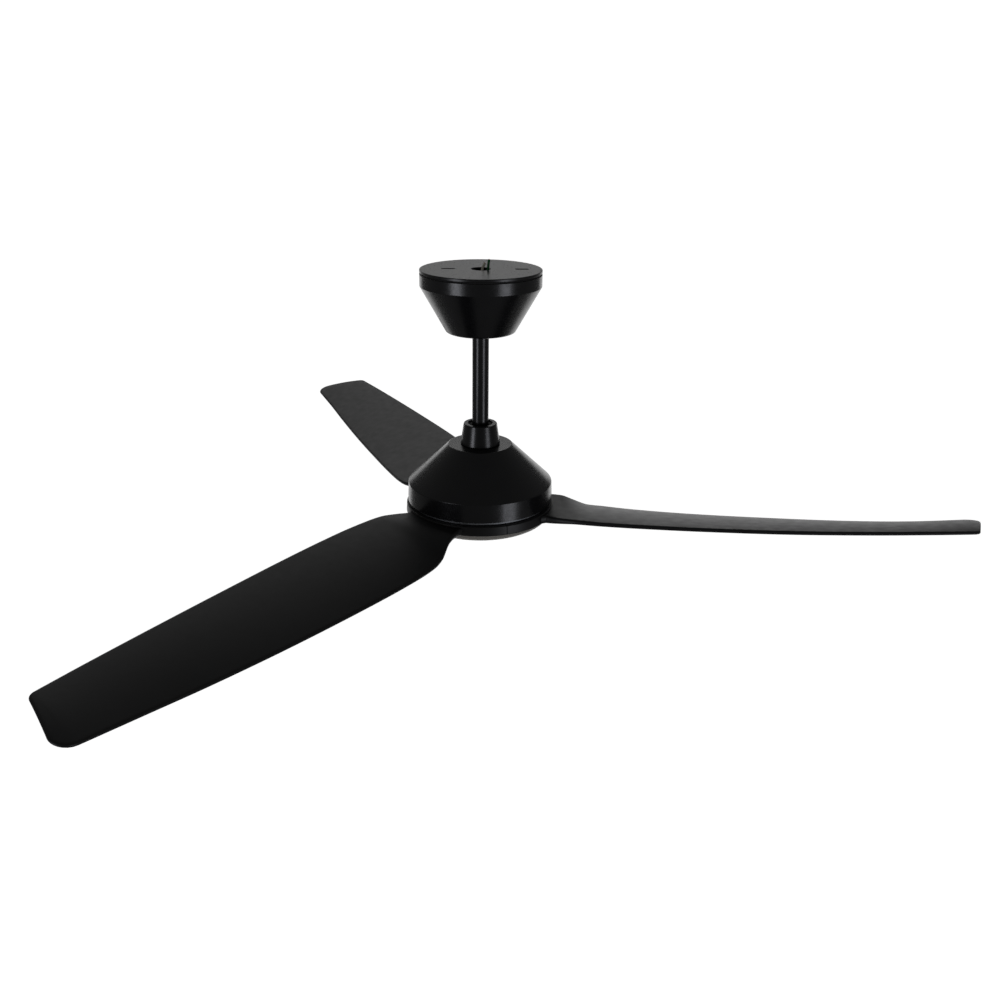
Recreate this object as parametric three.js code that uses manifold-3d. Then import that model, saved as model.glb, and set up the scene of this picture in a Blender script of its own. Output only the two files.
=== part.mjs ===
// Three-blade ceiling fan with an LED light, as an assembly of separate pieces.
// Millimetres, +Z up. The origin is the centre of the ceiling plate's top face, so z = 0 is the ceiling.
import * as THREE from 'three';
import { mergeVertices } from 'three/addons/utils/BufferGeometryUtils.js';
import Module from 'manifold-3d';

const wasm = await Module();
wasm.setup();

// ---------------------------------------------------------------- driving dimensions

const GAP = 0.3; // clearance kept between pieces that touch
const BIG = 40; // facets round a large outer piece
const INNER = 24; // facets round a large piece inside
const MID = 16; // facets round a small turned piece
const TINY = 10; // facets round a pin or a hole
const SCREW = 8; // facets round a screw

// ceiling plate and canopy
const PLATE_R = 77;
const PLATE_SHEET = 1.6;
const PLATE_RIM = 3.6;
const WIRE_HOLE_R = 12.4;
const SLOT_WIDTH = 7;
const SLOTS = [{ from: -50, to: -32 }, { from: 42, to: 60 }];
const STUD_X = 20.5;
const SEAL_TOP = -3.9;
const SEAL_BOTTOM = -5.3;
const CANOPY_TOP = -5.6;
const CANOPY_CREASE = -20.5;
const CANOPY_BOTTOM = -79;
const CANOPY_LOW_R = 44.6;
const CANOPY_SHEET = 1.4;
const CANOPY_MOUTH_R = 24;
const CANOPY_SCREWS = [60, 120]; // azimuths, degrees
const CANOPY_SCREW_Z = -13;
const CANOPY_HOOK = 270;

// ball joint and downrod
const BALL_Z = -45;
const BALL_R = 19.5;
const ROD_R = 10.65;
const ROD_BORE_R = 8.35;
const ROD_TOP = -30;
const ROD_END = -220;
const SEAT_R = 15;
const SEAT_TOP = -57.9;
const STRAP = 2.5;
const STRAP_X = 28;
const STRAP_Y = 20;

// coupling cover, coupling and shaft
const COVER_TOP = -200;
const COVER_TOP_R = 21.8;
const COVER_BOTTOM_R = 26.1;
const COVER_MOUTH_R = 16.3;
const COUPLING_TOP = -204;
const COUPLING_R = 15.5;
const COUPLING_END = -238;
const PIN_Z = -210;
const SET_SCREW_Z = -214.5;
const SHAFT_R = 8.5;
const SHAFT_BORE_R = 5;
const SHAFT_END = -330.2;

// motor housing
const HOUSING_TOP = -228.2;
const HOUSING_TOP_R = 41.7;
const HOUSING_CREASE = -279.2;
const HOUSING_CREASE_R = 95.6;
const HOUSING_END = -303.6;
const HOUSING_END_R = 96.6;
const HOUSING_WALL = 2;
const HOUSING_SCREW_R = 19.5;
const HOUSING_SCREW_ANGLES = [90, 210, 330];
const HOLE_R = 2; // holes for the small screws

// motor
const BEARING = { shaft: 8.8, inner: 11, shield: 11.3, outerFrom: 14.5, outer: 17.5, height: 8 };
const UPPER_BEARING_TOP = -254;
const LOWER_BEARING_TOP = -297;
const STATOR_R = 55;
const STATOR_TOP = -270;
const STATOR_END = -288;
const TEETH = 12;
const BELL_SCREW_R = 65;
const BELL_SCREW_ANGLES = [0, 120, 240];
const MAGNET = { inner: 55.6, outer: 58.7, top: -266, end: -292 };

// blade ring and blades
const RING_TOP = -308.2;
const RING_END = -320.9;
const RING_TOP_R = 98.3;
const RING_END_R = 99.1;
const RING_BORE_R = 72;
const RING_SEAM = 0.4;
const BLADE_COUNT = 3;
const FIRST_SECTOR = -9.5; // azimuth of the middle of blade 1's third of the ring, degrees
const BLADE_LEAN = 3; // the blade's own line is turned this far against the spin, degrees
const BLADE_SCREW_R = 84;
const BLADE_SCREW_ANGLES = [-38, 38];
const BLADE_WELL = 5; // depth of the wells that the screw heads sit in
const BLADE_CAMBER = 3;

// Along the blade: distance out, leading edge (offset, height), trailing edge (offset, height), thickness.
const BLADE_STATIONS = [
  { out: 80, lead: [42, -314.6], trail: [-34, -314.6], thick: 10.4 },
  { out: 93, lead: [49, -314], trail: [-38, -315.2], thick: 10 },
  { out: 110, lead: [58, -311.5], trail: [-40, -316.3], thick: 8 },
  { out: 120, lead: [62, -310.2], trail: [-41.3, -320], thick: 7.1 },
  { out: 130, lead: [65, -309], trail: [-44.7, -325], thick: 6.4 },
  { out: 143, lead: [67.2, -308.8], trail: [-49.3, -331], thick: 6.1 },
  { out: 165, lead: [69.5, -308.6], trail: [-53.8, -334.2], thick: 5.6 },
  { out: 210, lead: [71, -308.7], trail: [-53.8, -337.3], thick: 5.4 },
  { out: 290, lead: [69.5, -309.5], trail: [-51.5, -339], thick: 5.2 },
  { out: 400, lead: [63.5, -310.4], trail: [-48.3, -338.3], thick: 5 },
  { out: 500, lead: [55, -310], trail: [-44.5, -335.6], thick: 4.8 },
  { out: 580, lead: [46.5, -309.2], trail: [-42, -331], thick: 4.6 },
];
// The tip edge runs aslant between these two corners, which are rounded.
const TIP_LEAD = { out: 642, offset: 38.8, height: -308.6, radius: 11 };
const TIP_TRAIL = { out: 670, offset: -43, height: -323, radius: 17 };
const TIP_THICK = 4.2;
const TIP_STEPS = 5;
// Across the blade, from trailing to leading edge: place along the chord and share of the thickness.
const SECTION = [[0.015, 0.3], [0.2, 0.43], [0.5, 0.5], [0.8, 0.49], [0.975, 0.36]];

// light unit
const PAN_TOP = -322.2;
const PAN_END = -323.7;
const PAN_R = 90;
const BOWL_TOP = -321.6;
const BOWL_R = 94;
const BOWL_DEPTH = 24;
const BOWL_WALL = 2;
const BOWL_STEPS = 5;
const LED_BOARD_R = 80;
const LED_BOARD_SHEET = 1.6;
const LED_SCREW_R = 56;
const LED_SCREW_ANGLES = [30, 150, 270];

// wires: out of the terminal block, round one bend and up through the wire hole
const WIRE_R = 1.6;
const WIRE_BEND = 6.5;
const WIRE_LOW = -11;
const TERMINAL_BACK = -15;
const EARTH = { x: 8.6, y: -4.8, top: 12, lean: [1.5, 1] };
const SUPPLY = { x: 1.3, y: 2.2, top: 6.5, lean: [3.5, 1] };

// ---------------------------------------------------------------- materials

const LOOKS = {
  black_paint: [0x18191c, 0.38, 0.1],
  plate_paint: [0x2a2b2e, 0.25, 0.2],
  black_plastic: [0x191a1c, 0.45, 0.0],
  rubber: [0x0c0c0d, 0.8, 0.0],
  zinc_steel: [0xa9adb0, 0.35, 0.9],
  dark_steel: [0x3c3e41, 0.4, 0.8],
  cast_aluminium: [0x9fa2a5, 0.5, 0.8],
  nylon: [0x26272a, 0.5, 0.0],
  copper: [0xa8592b, 0.35, 0.8],
  lamination: [0x6f7276, 0.5, 0.7],
  ferrite: [0x35363a, 0.7, 0.2],
  circuit_board: [0x1d5a35, 0.5, 0.0],
  white_board: [0xe8e8e4, 0.5, 0.0],
  white_plastic: [0xd9d9d4, 0.5, 0.0],
  opal: [0xe9e6df, 0.35, 0.0],
  green_wire: [0x1f5a34, 0.5, 0.0],
  cream_wire: [0xd8d3c4, 0.5, 0.0],
};

// ---------------------------------------------------------------- making shapes

const radians = (degrees) => (degrees * Math.PI) / 180;
const turned = (r, azimuth) => [r * Math.cos(radians(azimuth)), r * Math.sin(radians(azimuth))];

// A closed mesh as a solid: shared corners merged, flat slivers dropped, faces turned outward.
function toSolid(geometry) {
  const plain = geometry.clone();
  plain.deleteAttribute('normal');
  plain.deleteAttribute('uv');
  const merged = mergeVertices(plain, 1e-4);
  const points = merged.attributes.position.array;
  const corners = [];
  let volume = 0;
  for (let i = 0; i < merged.index.count; i += 3) {
    const [a, b, c] = [0, 1, 2].map((k) => merged.index.getX(i + k));
    if (a === b || b === c || c === a) continue;
    corners.push([a, b, c]);
    const [p, q, r] = [a, b, c].map((k) => new THREE.Vector3().fromArray(points, 3 * k));
    volume += p.dot(q.cross(r));
  }
  const triVerts = new Uint32Array(corners.flatMap(([a, b, c]) => (volume > 0 ? [a, b, c] : [a, c, b])));
  return new wasm.Manifold(new wasm.Mesh({ numProp: 3, vertProperties: points, triVerts }));
}

function toGeometry(solid) {
  const mesh = solid.getMesh();
  const geometry = new THREE.BufferGeometry();
  geometry.setAttribute('position', new THREE.BufferAttribute(new Float32Array(mesh.vertProperties), 3));
  geometry.setIndex(new THREE.BufferAttribute(new Uint32Array(mesh.triVerts), 1));
  geometry.computeVertexNormals();
  return geometry;
}

// A profile of [radius, height] corners, closed on itself, turned about Z.
function revolve(profile, facets) {
  const loop = [...profile, profile[0]].map(([r, z]) => new THREE.Vector2(r, z));
  return toSolid(new THREE.LatheGeometry(loop, facets).rotateX(Math.PI / 2));
}

// A profile that starts and ends on the axis, turned about Z.
function revolveFull(profile, facets) {
  const line = profile.map(([r, z]) => new THREE.Vector2(r, z));
  return toSolid(new THREE.LatheGeometry(line, facets).rotateX(Math.PI / 2));
}

const ring = (inner, outer, low, high, facets) =>
  revolve([[inner, low], [outer, low], [outer, high], [inner, high]], facets);

const disc = (r, low, high, facets) => revolveFull([[0, low], [r, low], [r, high], [0, high]], facets);

function block([x, y, z], [w, d, h]) {
  return toSolid(new THREE.BoxGeometry(w, d, h).translate(x, y, z));
}

// A round bar along X or Y.
function bar(r, from, to, axis, facets) {
  const length = axis === 'x' ? to[0] - from[0] : to[1] - from[1];
  const geometry = new THREE.CylinderGeometry(r, r, Math.abs(length), facets);
  if (axis === 'x') geometry.rotateZ(Math.PI / 2);
  const middle = from.map((value, i) => (value + to[i]) / 2);
  return toSolid(geometry.translate(...middle));
}

// An outline of [x, y] corners raised from low to high.
function raised(outline, low, high) {
  const shape = new THREE.Shape(outline.map(([x, y]) => new THREE.Vector2(x, y)));
  const geometry = new THREE.ExtrudeGeometry(shape, { depth: high - low, bevelEnabled: false });
  return toSolid(geometry.translate(0, 0, low));
}

function hexagon(acrossFlats, low, high, [x, y] = [0, 0]) {
  const r = acrossFlats / Math.sqrt(3);
  const outline = [0, 60, 120, 180, 240, 300].map((a) => turned(r, a)).map(([i, j]) => [x + i, y + j]);
  return raised(outline, low, high);
}

const moved = (solid, x, y, z = 0) => solid.translate([x, y, z]);
const spun = (solid, degrees) => solid.rotate([0, 0, degrees]);
const joined = (solids) => solids.reduce((sum, next) => sum.add(next));
const cut = (solid, cutters) => cutters.reduce((rest, next) => rest.subtract(next), solid);

// Round cutters for screws standing on a circle at the given angles.
const drills = (r, low, high, circle, angles) =>
  angles.map((angle) => moved(disc(r, low, high, SCREW), ...turned(circle, angle)));

// Pan-head screw on the Z axis with its head's seat at z = 0, head towards +side, shank the other way.
function screw(headR, headHeight, shankR, shankLength, side) {
  const profile = [
    [0, side * headHeight],
    [headR * 0.72, side * headHeight],
    [headR, side * headHeight * 0.55],
    [headR, 0],
    [shankR, 0],
    [shankR, -side * shankLength],
    [0, -side * shankLength],
  ];
  return revolveFull(profile, SCREW);
}

// A cross recess for the head of such a screw.
function crossRecess(headR, headHeight) {
  const slotBar = block([0, 0, headHeight], [headR * 1.1, headR * 0.26, headHeight]);
  return slotBar.add(spun(slotBar, 90));
}

// The middle line of a wire: level to its bend, a quarter turn, then up with a slight lean.
function wireRoute({ x, y, top, lean }) {
  const route = [[x, TERMINAL_BACK + GAP, WIRE_LOW]];
  for (let i = 0; i <= 4; i += 1) {
    const [across, rise] = turned(WIRE_BEND, 22.5 * i);
    route.push([x, y - WIRE_BEND + rise, WIRE_LOW + WIRE_BEND - across]);
  }
  for (let i = 1; i <= 3; i += 1) {
    const share = (i / 3) ** 2;
    const z = WIRE_LOW + WIRE_BEND + ((top - WIRE_LOW - WIRE_BEND) * i) / 3;
    route.push([x + share * lean[0], y + share * lean[1], z]);
  }
  return route;
}

// A plain round wire along a smooth route.
function wire(route, r) {
  const points = route.map((point) => new THREE.Vector3(...point));
  const path = new THREE.CatmullRomCurve3(points, false, 'centripetal');
  const sides = 8;
  const section = new THREE.Shape();
  for (let i = 0; i < sides; i += 1) {
    const [x, y] = turned(r, (360 * i) / sides);
    if (i === 0) section.moveTo(x, y);
    else section.lineTo(x, y);
  }
  section.closePath();
  const steps = Math.ceil(path.getLength() / (5 * r));
  return toSolid(new THREE.ExtrudeGeometry(section, { steps, extrudePath: path, bevelEnabled: false }));
}

// ---------------------------------------------------------------- the assembly

const fan = new THREE.Group();

function add(name, solid, look) {
  const [color, roughness, metalness] = LOOKS[look];
  const material = new THREE.MeshStandardMaterial({ color, roughness, metalness });
  const mesh = new THREE.Mesh(toGeometry(solid), material);
  mesh.name = name;
  fan.add(mesh);
}

// ---------------------------------------------------------------- ceiling plate and bracket

function slot({ from, to }) {
  const r = SLOT_WIDTH / 2;
  const outline = [];
  for (const [middle, first] of [[to - r, -90], [from + r, 90]]) {
    for (let a = first; a <= first + 180; a += 30) {
      const [x, y] = turned(r, a);
      outline.push([middle + x, y]);
    }
  }
  return raised(outline, -PLATE_SHEET - 1, 1);
}

// A tab turned down from the plate just inside the canopy's band.
function plateTab(azimuth, end) {
  const tab = block([PLATE_R - 2.8, 0, (end - PLATE_SHEET + 0.4) / 2], [1.6, 12, -end - PLATE_SHEET + 0.4]);
  return spun(tab, azimuth);
}

// A cross hole at each canopy screw, through the walls between two radii.
function canopyScrewHoles(r, from, to) {
  const hole = bar(r, [from, 0, CANOPY_SCREW_Z], [to, 0, CANOPY_SCREW_Z], 'x', TINY);
  return CANOPY_SCREWS.map((azimuth) => spun(hole, azimuth));
}

function ceilingPlate() {
  const sheet = revolve([
    [WIRE_HOLE_R, 0], [PLATE_R - 1, 0], [PLATE_R, -1], [PLATE_R, -PLATE_RIM],
    [PLATE_R - PLATE_SHEET, -PLATE_RIM], [PLATE_R - PLATE_SHEET, -PLATE_SHEET], [WIRE_HOLE_R, -PLATE_SHEET],
  ], BIG);
  const studs = [-STUD_X, STUD_X].map((x) => moved(disc(2.4, -11, -PLATE_SHEET + 0.4, TINY), x, 0));
  const tabs = CANOPY_SCREWS.map((azimuth) => plateTab(azimuth, -18));
  const foot = spun(block([PLATE_R - 3.3, 0, -13.6], [2.6, 12, 1.6]), CANOPY_HOOK);
  const hook = spun(block([PLATE_R - 5.2, 0, -7.7], [1.6, 12, 13.4]), CANOPY_HOOK);
  const holes = canopyScrewHoles(2.3, PLATE_R - 6, PLATE_R);
  return cut(joined([sheet, ...studs, ...tabs, hook, foot]), [...SLOTS.map(slot), ...holes]);
}

function hangerBracket() {
  const low = SEAT_TOP - STRAP;
  const top = -PLATE_SHEET - GAP;
  const legs = [-1, 1].map((side) =>
    block([side * (STRAP_X - STRAP / 2), 0, (low + top) / 2], [STRAP, 2 * STRAP_Y, top - low]));
  const flanges = [-1, 1].map((side) =>
    block([side * (STRAP_X - 5.5), 0, top - STRAP / 2], [11, 2 * STRAP_Y, STRAP]));
  const seat = block([0, 0, low + STRAP / 2], [2 * STRAP_X, 2 * STRAP_Y, STRAP]);
  const key = block([0, BALL_R - 0.6, SEAT_TOP + 4], [4, 2.4, 8.4]);
  const throat = block([0, -STRAP_Y, low + STRAP / 2], [2 * ROD_R + 2, 2 * STRAP_Y, STRAP + 2]);
  const studHoles = [-STUD_X, STUD_X].map((x) => moved(disc(2.8, top - STRAP - 1, top + 1, TINY), x, 0));
  const ballHole = disc(SEAT_R, low - 1, SEAT_TOP + 1, BIG);
  const opened = cut(joined([seat, ...legs, ...flanges]), [ballHole, throat]);
  return cut(opened.add(key), studHoles);
}

function bracketNut(x) {
  const top = -PLATE_SHEET - 2 * GAP - STRAP;
  return cut(hexagon(7, top - 3.6, top, [x, 0]), [moved(disc(2.7, top - 6, top + 1, TINY), x, 0)]);
}

add('ceiling_plate', ceilingPlate(), 'plate_paint');
add('hanger_bracket', hangerBracket(), 'zinc_steel');
add('bracket_nut_1', bracketNut(-STUD_X), 'zinc_steel');
add('bracket_nut_2', bracketNut(STUD_X), 'zinc_steel');

// ---------------------------------------------------------------- canopy

function canopyShell() {
  const wall = CANOPY_SHEET;
  const low = CANOPY_LOW_R;
  const outer = [
    [PLATE_R, CANOPY_TOP], [PLATE_R, CANOPY_CREASE], [low + 1.6, CANOPY_BOTTOM + 4.2],
    [low - 0.4, CANOPY_BOTTOM + 1.4], [low - 3.4, CANOPY_BOTTOM], [CANOPY_MOUTH_R, CANOPY_BOTTOM],
  ];
  const inner = [
    [CANOPY_MOUTH_R, CANOPY_BOTTOM + wall], [low - 4, CANOPY_BOTTOM + wall], [low - 1.6, CANOPY_BOTTOM + 3],
    [low + 0.4, CANOPY_BOTTOM + 5.4], [PLATE_R - wall, CANOPY_CREASE - 0.6], [PLATE_R - wall, CANOPY_TOP],
  ];
  const lug = spun(block([PLATE_R - 2.1, 0, -11.5], [2.2, 10, 2]), CANOPY_HOOK);
  const holes = canopyScrewHoles(2.4, PLATE_R - 2, PLATE_R + 2);
  return cut(revolve([...outer, ...inner], BIG).add(lug), holes);
}

add('canopy_seal', ring(PLATE_R - PLATE_SHEET, PLATE_R - 0.5, SEAL_BOTTOM, SEAL_TOP, BIG), 'rubber');
add('canopy_shell', canopyShell(), 'black_paint');
CANOPY_SCREWS.forEach((azimuth, i) => {
  const lying = cut(screw(4, 2.2, 1.9, 6.5, 1), [crossRecess(4, 2.2)]).rotate([0, 90, 0]);
  add(`canopy_screw_${i + 1}`, spun(moved(lying, PLATE_R + GAP, 0, CANOPY_SCREW_Z), azimuth), 'dark_steel');
});

// ---------------------------------------------------------------- wiring in the canopy

function terminalBlock() {
  const body = block([0, TERMINAL_BACK - 6.5, -8.6], [30, 13, 13]);
  const wells = [-9.3, 0, 9.3].map((x) => moved(disc(2.4, -16.5, -12, 8), x, TERMINAL_BACK - 6.5));
  return cut(body, wells);
}

function remoteReceiver() {
  const body = block([0, 50, -9.6], [52, 20, 15]);
  const lid = block([0, 50, -17.7], [48, 16, 1.6]);
  return body.add(lid);
}

add('terminal_block', terminalBlock(), 'white_plastic');
add('earth_wire', wire(wireRoute(EARTH), WIRE_R), 'green_wire');
add('supply_wire', wire(wireRoute(SUPPLY), WIRE_R), 'cream_wire');
add('remote_receiver', remoteReceiver(), 'black_plastic');

// ---------------------------------------------------------------- ball and downrod

function hangerBall() {
  const above = 14;
  const below = -15.5;
  const start = Math.asin(above / BALL_R);
  const end = Math.asin(below / BALL_R);
  const steps = 6;
  const bore = ROD_R + GAP;
  const profile = [[bore, BALL_Z + above]];
  for (let i = 0; i <= steps; i += 1) {
    const angle = start + (i / steps) * (end - start);
    profile.push([BALL_R * Math.cos(angle), BALL_Z + BALL_R * Math.sin(angle)]);
  }
  profile.push([bore, BALL_Z + below]);
  const groove = block([0, BALL_R, BALL_Z], [5.6, 8.6, 2 * BALL_R]);
  const cross = bar(2.8, [-BALL_R - 1, 0, BALL_Z], [BALL_R + 1, 0, BALL_Z], 'x', TINY);
  return cut(revolve(profile, INNER), [groove, cross]);
}

function downrod() {
  const tube = ring(ROD_BORE_R, ROD_R, ROD_END, ROD_TOP, MID);
  const ballHole = bar(2.8, [-20, 0, BALL_Z], [20, 0, BALL_Z], 'x', TINY);
  const pinHole = bar(3.3, [-20, 0, PIN_Z], [20, 0, PIN_Z], 'x', TINY);
  return cut(tube, [ballHole, pinHole]);
}

add('hanger_ball', hangerBall(), 'nylon');
add('ball_pin', bar(2.5, [-17.5, 0, BALL_Z], [17.5, 0, BALL_Z], 'x', TINY), 'zinc_steel');
add('downrod', downrod(), 'black_paint');

// ---------------------------------------------------------------- coupling and its cover

function rodCoupling() {
  const body = revolve([
    [ROD_R + GAP, COUPLING_TOP], [COUPLING_R, COUPLING_TOP], [COUPLING_R, -230.5], [27, -230.5], [27, -234],
    [13, -234], [13, COUPLING_END], [SHAFT_R + GAP, COUPLING_END], [SHAFT_R + GAP, ROD_END - GAP],
    [ROD_R + GAP, ROD_END - GAP],
  ], MID);
  const pinHole = bar(3.3, [-20, 0, PIN_Z], [20, 0, PIN_Z], 'x', TINY);
  const setHoles = bar(2.8, [0, -20, SET_SCREW_Z], [0, 20, SET_SCREW_Z], 'y', TINY);
  const screwHoles = drills(HOLE_R, -236, -229, HOUSING_SCREW_R, HOUSING_SCREW_ANGLES);
  return cut(body, [pinHole, setHoles, ...screwHoles]);
}

function couplingPin() {
  const profile = [
    [0, -19.6], [4.6, -19.6], [4.6, -17.6], [3, -17.6], [3, 16.2],
    [2, 16.2], [2, 17.2], [3, 17.2], [3, 18.4], [0, 18.4],
  ];
  return revolveFull(profile, TINY).rotate([0, 90, 0]).translate([0, 0, PIN_Z]);
}

// A spring clip open on one side, sitting in the pin's groove.
function pinClip() {
  const outline = [];
  for (let a = -140; a <= 140; a += 28) outline.push(turned(5, a));
  for (let a = 140; a >= -140; a -= 28) outline.push(turned(2.4, a));
  return raised(outline, -0.4, 0.4).rotate([0, 90, 0]).translate([16.7, 0, PIN_Z]);
}

function setScrew(side) {
  const shank = bar(2.5, [0, side * 10.95, SET_SCREW_Z], [0, side * 16, SET_SCREW_Z], 'y', TINY);
  const socket = bar(1.3, [0, side * 14, SET_SCREW_Z], [0, side * 17, SET_SCREW_Z], 'y', 6);
  return cut(shank, [socket]);
}

function couplingCover() {
  const low = HOUSING_TOP + GAP;
  return revolve([
    [COVER_MOUTH_R, COVER_TOP], [COVER_TOP_R - 1.2, COVER_TOP], [COVER_TOP_R, COVER_TOP - 1.2],
    [COVER_BOTTOM_R, low + 1], [COVER_BOTTOM_R - 0.4, low], [COVER_BOTTOM_R - 2, low],
    [COVER_TOP_R - 2.2, COVER_TOP - 1.6], [COVER_MOUTH_R, COVER_TOP - 1.6],
  ], INNER);
}

add('rod_coupling', rodCoupling(), 'cast_aluminium');
add('coupling_pin', couplingPin(), 'zinc_steel');
add('pin_clip', pinClip(), 'dark_steel');
add('set_screw_1', setScrew(1), 'dark_steel');
add('set_screw_2', setScrew(-1), 'dark_steel');
add('coupling_cover', couplingCover(), 'black_paint');
add('cover_gasket', ring(ROD_R + GAP, 18.8, COVER_TOP - 3.7, COVER_TOP - 1.9, MID), 'rubber');

// ---------------------------------------------------------------- motor housing

function motorHousing() {
  const slope = (HOUSING_CREASE_R - HOUSING_TOP_R) / (HOUSING_TOP - HOUSING_CREASE);
  const outer = [
    [COUPLING_R + 0.8, HOUSING_TOP], [HOUSING_TOP_R - 2, HOUSING_TOP],
    [HOUSING_TOP_R + 0.6, HOUSING_TOP - 1.2], [HOUSING_CREASE_R - 2.6 * slope, HOUSING_CREASE + 2.6],
    [HOUSING_CREASE_R - 0.3, HOUSING_CREASE - 1],
    [HOUSING_END_R, HOUSING_END],
  ];
  const inner = [
    [HOUSING_END_R - HOUSING_WALL, HOUSING_END], [HOUSING_CREASE_R - 2.4, HOUSING_CREASE - 1.6],
    [HOUSING_TOP_R - 1.4, HOUSING_TOP - HOUSING_WALL], [COUPLING_R + 0.8, HOUSING_TOP - HOUSING_WALL],
  ];
  const shell = revolve([...outer, ...inner], BIG);
  const bosses = [30, 150, 270].map((a) => moved(disc(3, -242.7, HOUSING_TOP - 1, TINY), ...turned(35, a)));
  const screwHoles = drills(HOLE_R, -232, -227, HOUSING_SCREW_R, HOUSING_SCREW_ANGLES);
  return cut(joined([shell, ...bosses]), screwHoles);
}

function controlBoard() {
  const board = ring(16, 42, -244.6, -243, MID);
  const parts = [[25, 20], [145, 28], [200, 22], [310, 30]].map(([azimuth, r]) =>
    spun(block([r, 0, -246.5], [9, 7, 4.2]), azimuth));
  const capacitors = [70, 110].map((a) => moved(disc(4.5, -243.2, -236, TINY), ...turned(29, a)));
  return joined([board, ...parts, ...capacitors]);
}

add('motor_housing', motorHousing(), 'black_paint');
HOUSING_SCREW_ANGLES.forEach((azimuth, i) => {
  const [x, y] = turned(HOUSING_SCREW_R, azimuth);
  add(`housing_screw_${i + 1}`, moved(screw(2.8, 1.9, 1.6, 7, 1), x, y, HOUSING_TOP + GAP), 'dark_steel');
});
add('control_board', controlBoard(), 'circuit_board');

// ---------------------------------------------------------------- motor

function motorShaft() {
  return revolve([
    [SHAFT_BORE_R, ROD_END - 2 * GAP], [SHAFT_R, ROD_END - 2 * GAP], [SHAFT_R, -311], [12, -311],
    [12, PAN_TOP + GAP], [SHAFT_R, PAN_TOP + GAP], [SHAFT_R, SHAFT_END], [SHAFT_BORE_R, SHAFT_END],
  ], MID);
}

// Stator laminations: twelve teeth with broad heads on a round yoke.
function statorCore() {
  const half = [[26, 6.6], [49, 3.5], [52, 12.6], [STATOR_R, 12.6]]; // radius, angle off the middle
  const outline = [];
  for (let i = 0; i < TEETH; i += 1) {
    const middle = i * (360 / TEETH);
    outline.push(...half.map(([r, a]) => turned(r, middle - a)));
    outline.push(turned(STATOR_R, middle));
    outline.push(...half.toReversed().map(([r, a]) => turned(r, middle + a)));
  }
  const bore = disc(SHAFT_R + GAP, STATOR_END - 1, STATOR_TOP + 1, MID);
  return cut(raised(outline, STATOR_END, STATOR_TOP), [bore]);
}

// Copper coils: the end turns above and below, joined by the legs that fill the slots.
function statorWinding() {
  const upper = ring(29, 47, STATOR_TOP + GAP, STATOR_TOP + 4.6, MID);
  const lower = ring(29, 47, STATOR_END - 4.6, STATOR_END - GAP, MID);
  const legs = [];
  for (let i = 0; i < TEETH; i += 1) {
    const leg = raised([[30, -1], [46, -6.2], [46, 6.2], [30, 1]], STATOR_END - 1, STATOR_TOP + 1);
    legs.push(spun(leg, (i + 0.5) * (360 / TEETH)));
  }
  return joined([upper, lower, ...legs]);
}

const innerRace = (top) => ring(BEARING.shaft, BEARING.inner, top - BEARING.height, top, MID);

function outerRace(top) {
  const low = top - BEARING.height;
  const { shield, outerFrom, outer } = BEARING;
  return revolve([
    [outer, low], [outer, top], [shield, top], [shield, top - 0.8], [outerFrom, top - 0.8],
    [outerFrom, low + 0.8], [shield, low + 0.8], [shield, low],
  ], MID);
}

function rotorBell() {
  const bell = revolve([
    [14.8, -251.4], [21, -251.4], [21, -260], [62, -260], [62, -298.3], [68, -298.3], [68, -301],
    [59, -301], [59, -263], [17.8, -263], [17.8, -253.7], [14.8, -253.7],
  ], INNER);
  const vents = drills(7, -264, -259, 40, [0, 60, 120, 180, 240, 300]);
  const holes = drills(HOLE_R, -302, -297, BELL_SCREW_R, BELL_SCREW_ANGLES);
  return cut(bell, [...vents, ...holes]);
}

function rotorBase() {
  const base = revolve([
    [14.8, -307.9], [92, -307.9], [92, -304.4], [68, -304.4], [68, -301.3], [60, -301.3], [60, -304.4],
    [21, -304.4], [21, -296], [17.8, -296], [17.8, -305.3], [14.8, -305.3],
  ], INNER);
  const holes = drills(HOLE_R, -309, -300, BELL_SCREW_R, BELL_SCREW_ANGLES);
  for (let i = 0; i < BLADE_COUNT; i += 1) {
    const middle = FIRST_SECTOR + (360 / BLADE_COUNT) * i;
    const angles = BLADE_SCREW_ANGLES.map((angle) => middle + angle);
    holes.push(...drills(2.3, -309, -303, BLADE_SCREW_R, angles));
  }
  return cut(base, holes);
}

add('motor_shaft', motorShaft(), 'dark_steel');
add('stator_core', statorCore(), 'lamination');
add('stator_winding', statorWinding(), 'copper');
add('upper_inner_race', innerRace(UPPER_BEARING_TOP), 'zinc_steel');
add('lower_inner_race', innerRace(LOWER_BEARING_TOP), 'zinc_steel');
add('upper_outer_race', outerRace(UPPER_BEARING_TOP), 'zinc_steel');
add('lower_outer_race', outerRace(LOWER_BEARING_TOP), 'zinc_steel');
add('rotor_bell', rotorBell(), 'cast_aluminium');
add('rotor_base', rotorBase(), 'cast_aluminium');
add('magnet_ring', ring(MAGNET.inner, MAGNET.outer, MAGNET.end, MAGNET.top, INNER), 'ferrite');
BELL_SCREW_ANGLES.forEach((azimuth, i) => {
  const [x, y] = turned(BELL_SCREW_R, azimuth);
  add(`bell_screw_${i + 1}`, moved(screw(3, 2, 1.6, 9.5, -1), x, y, -307.9 - GAP), 'dark_steel');
});

// ---------------------------------------------------------------- blades

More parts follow.
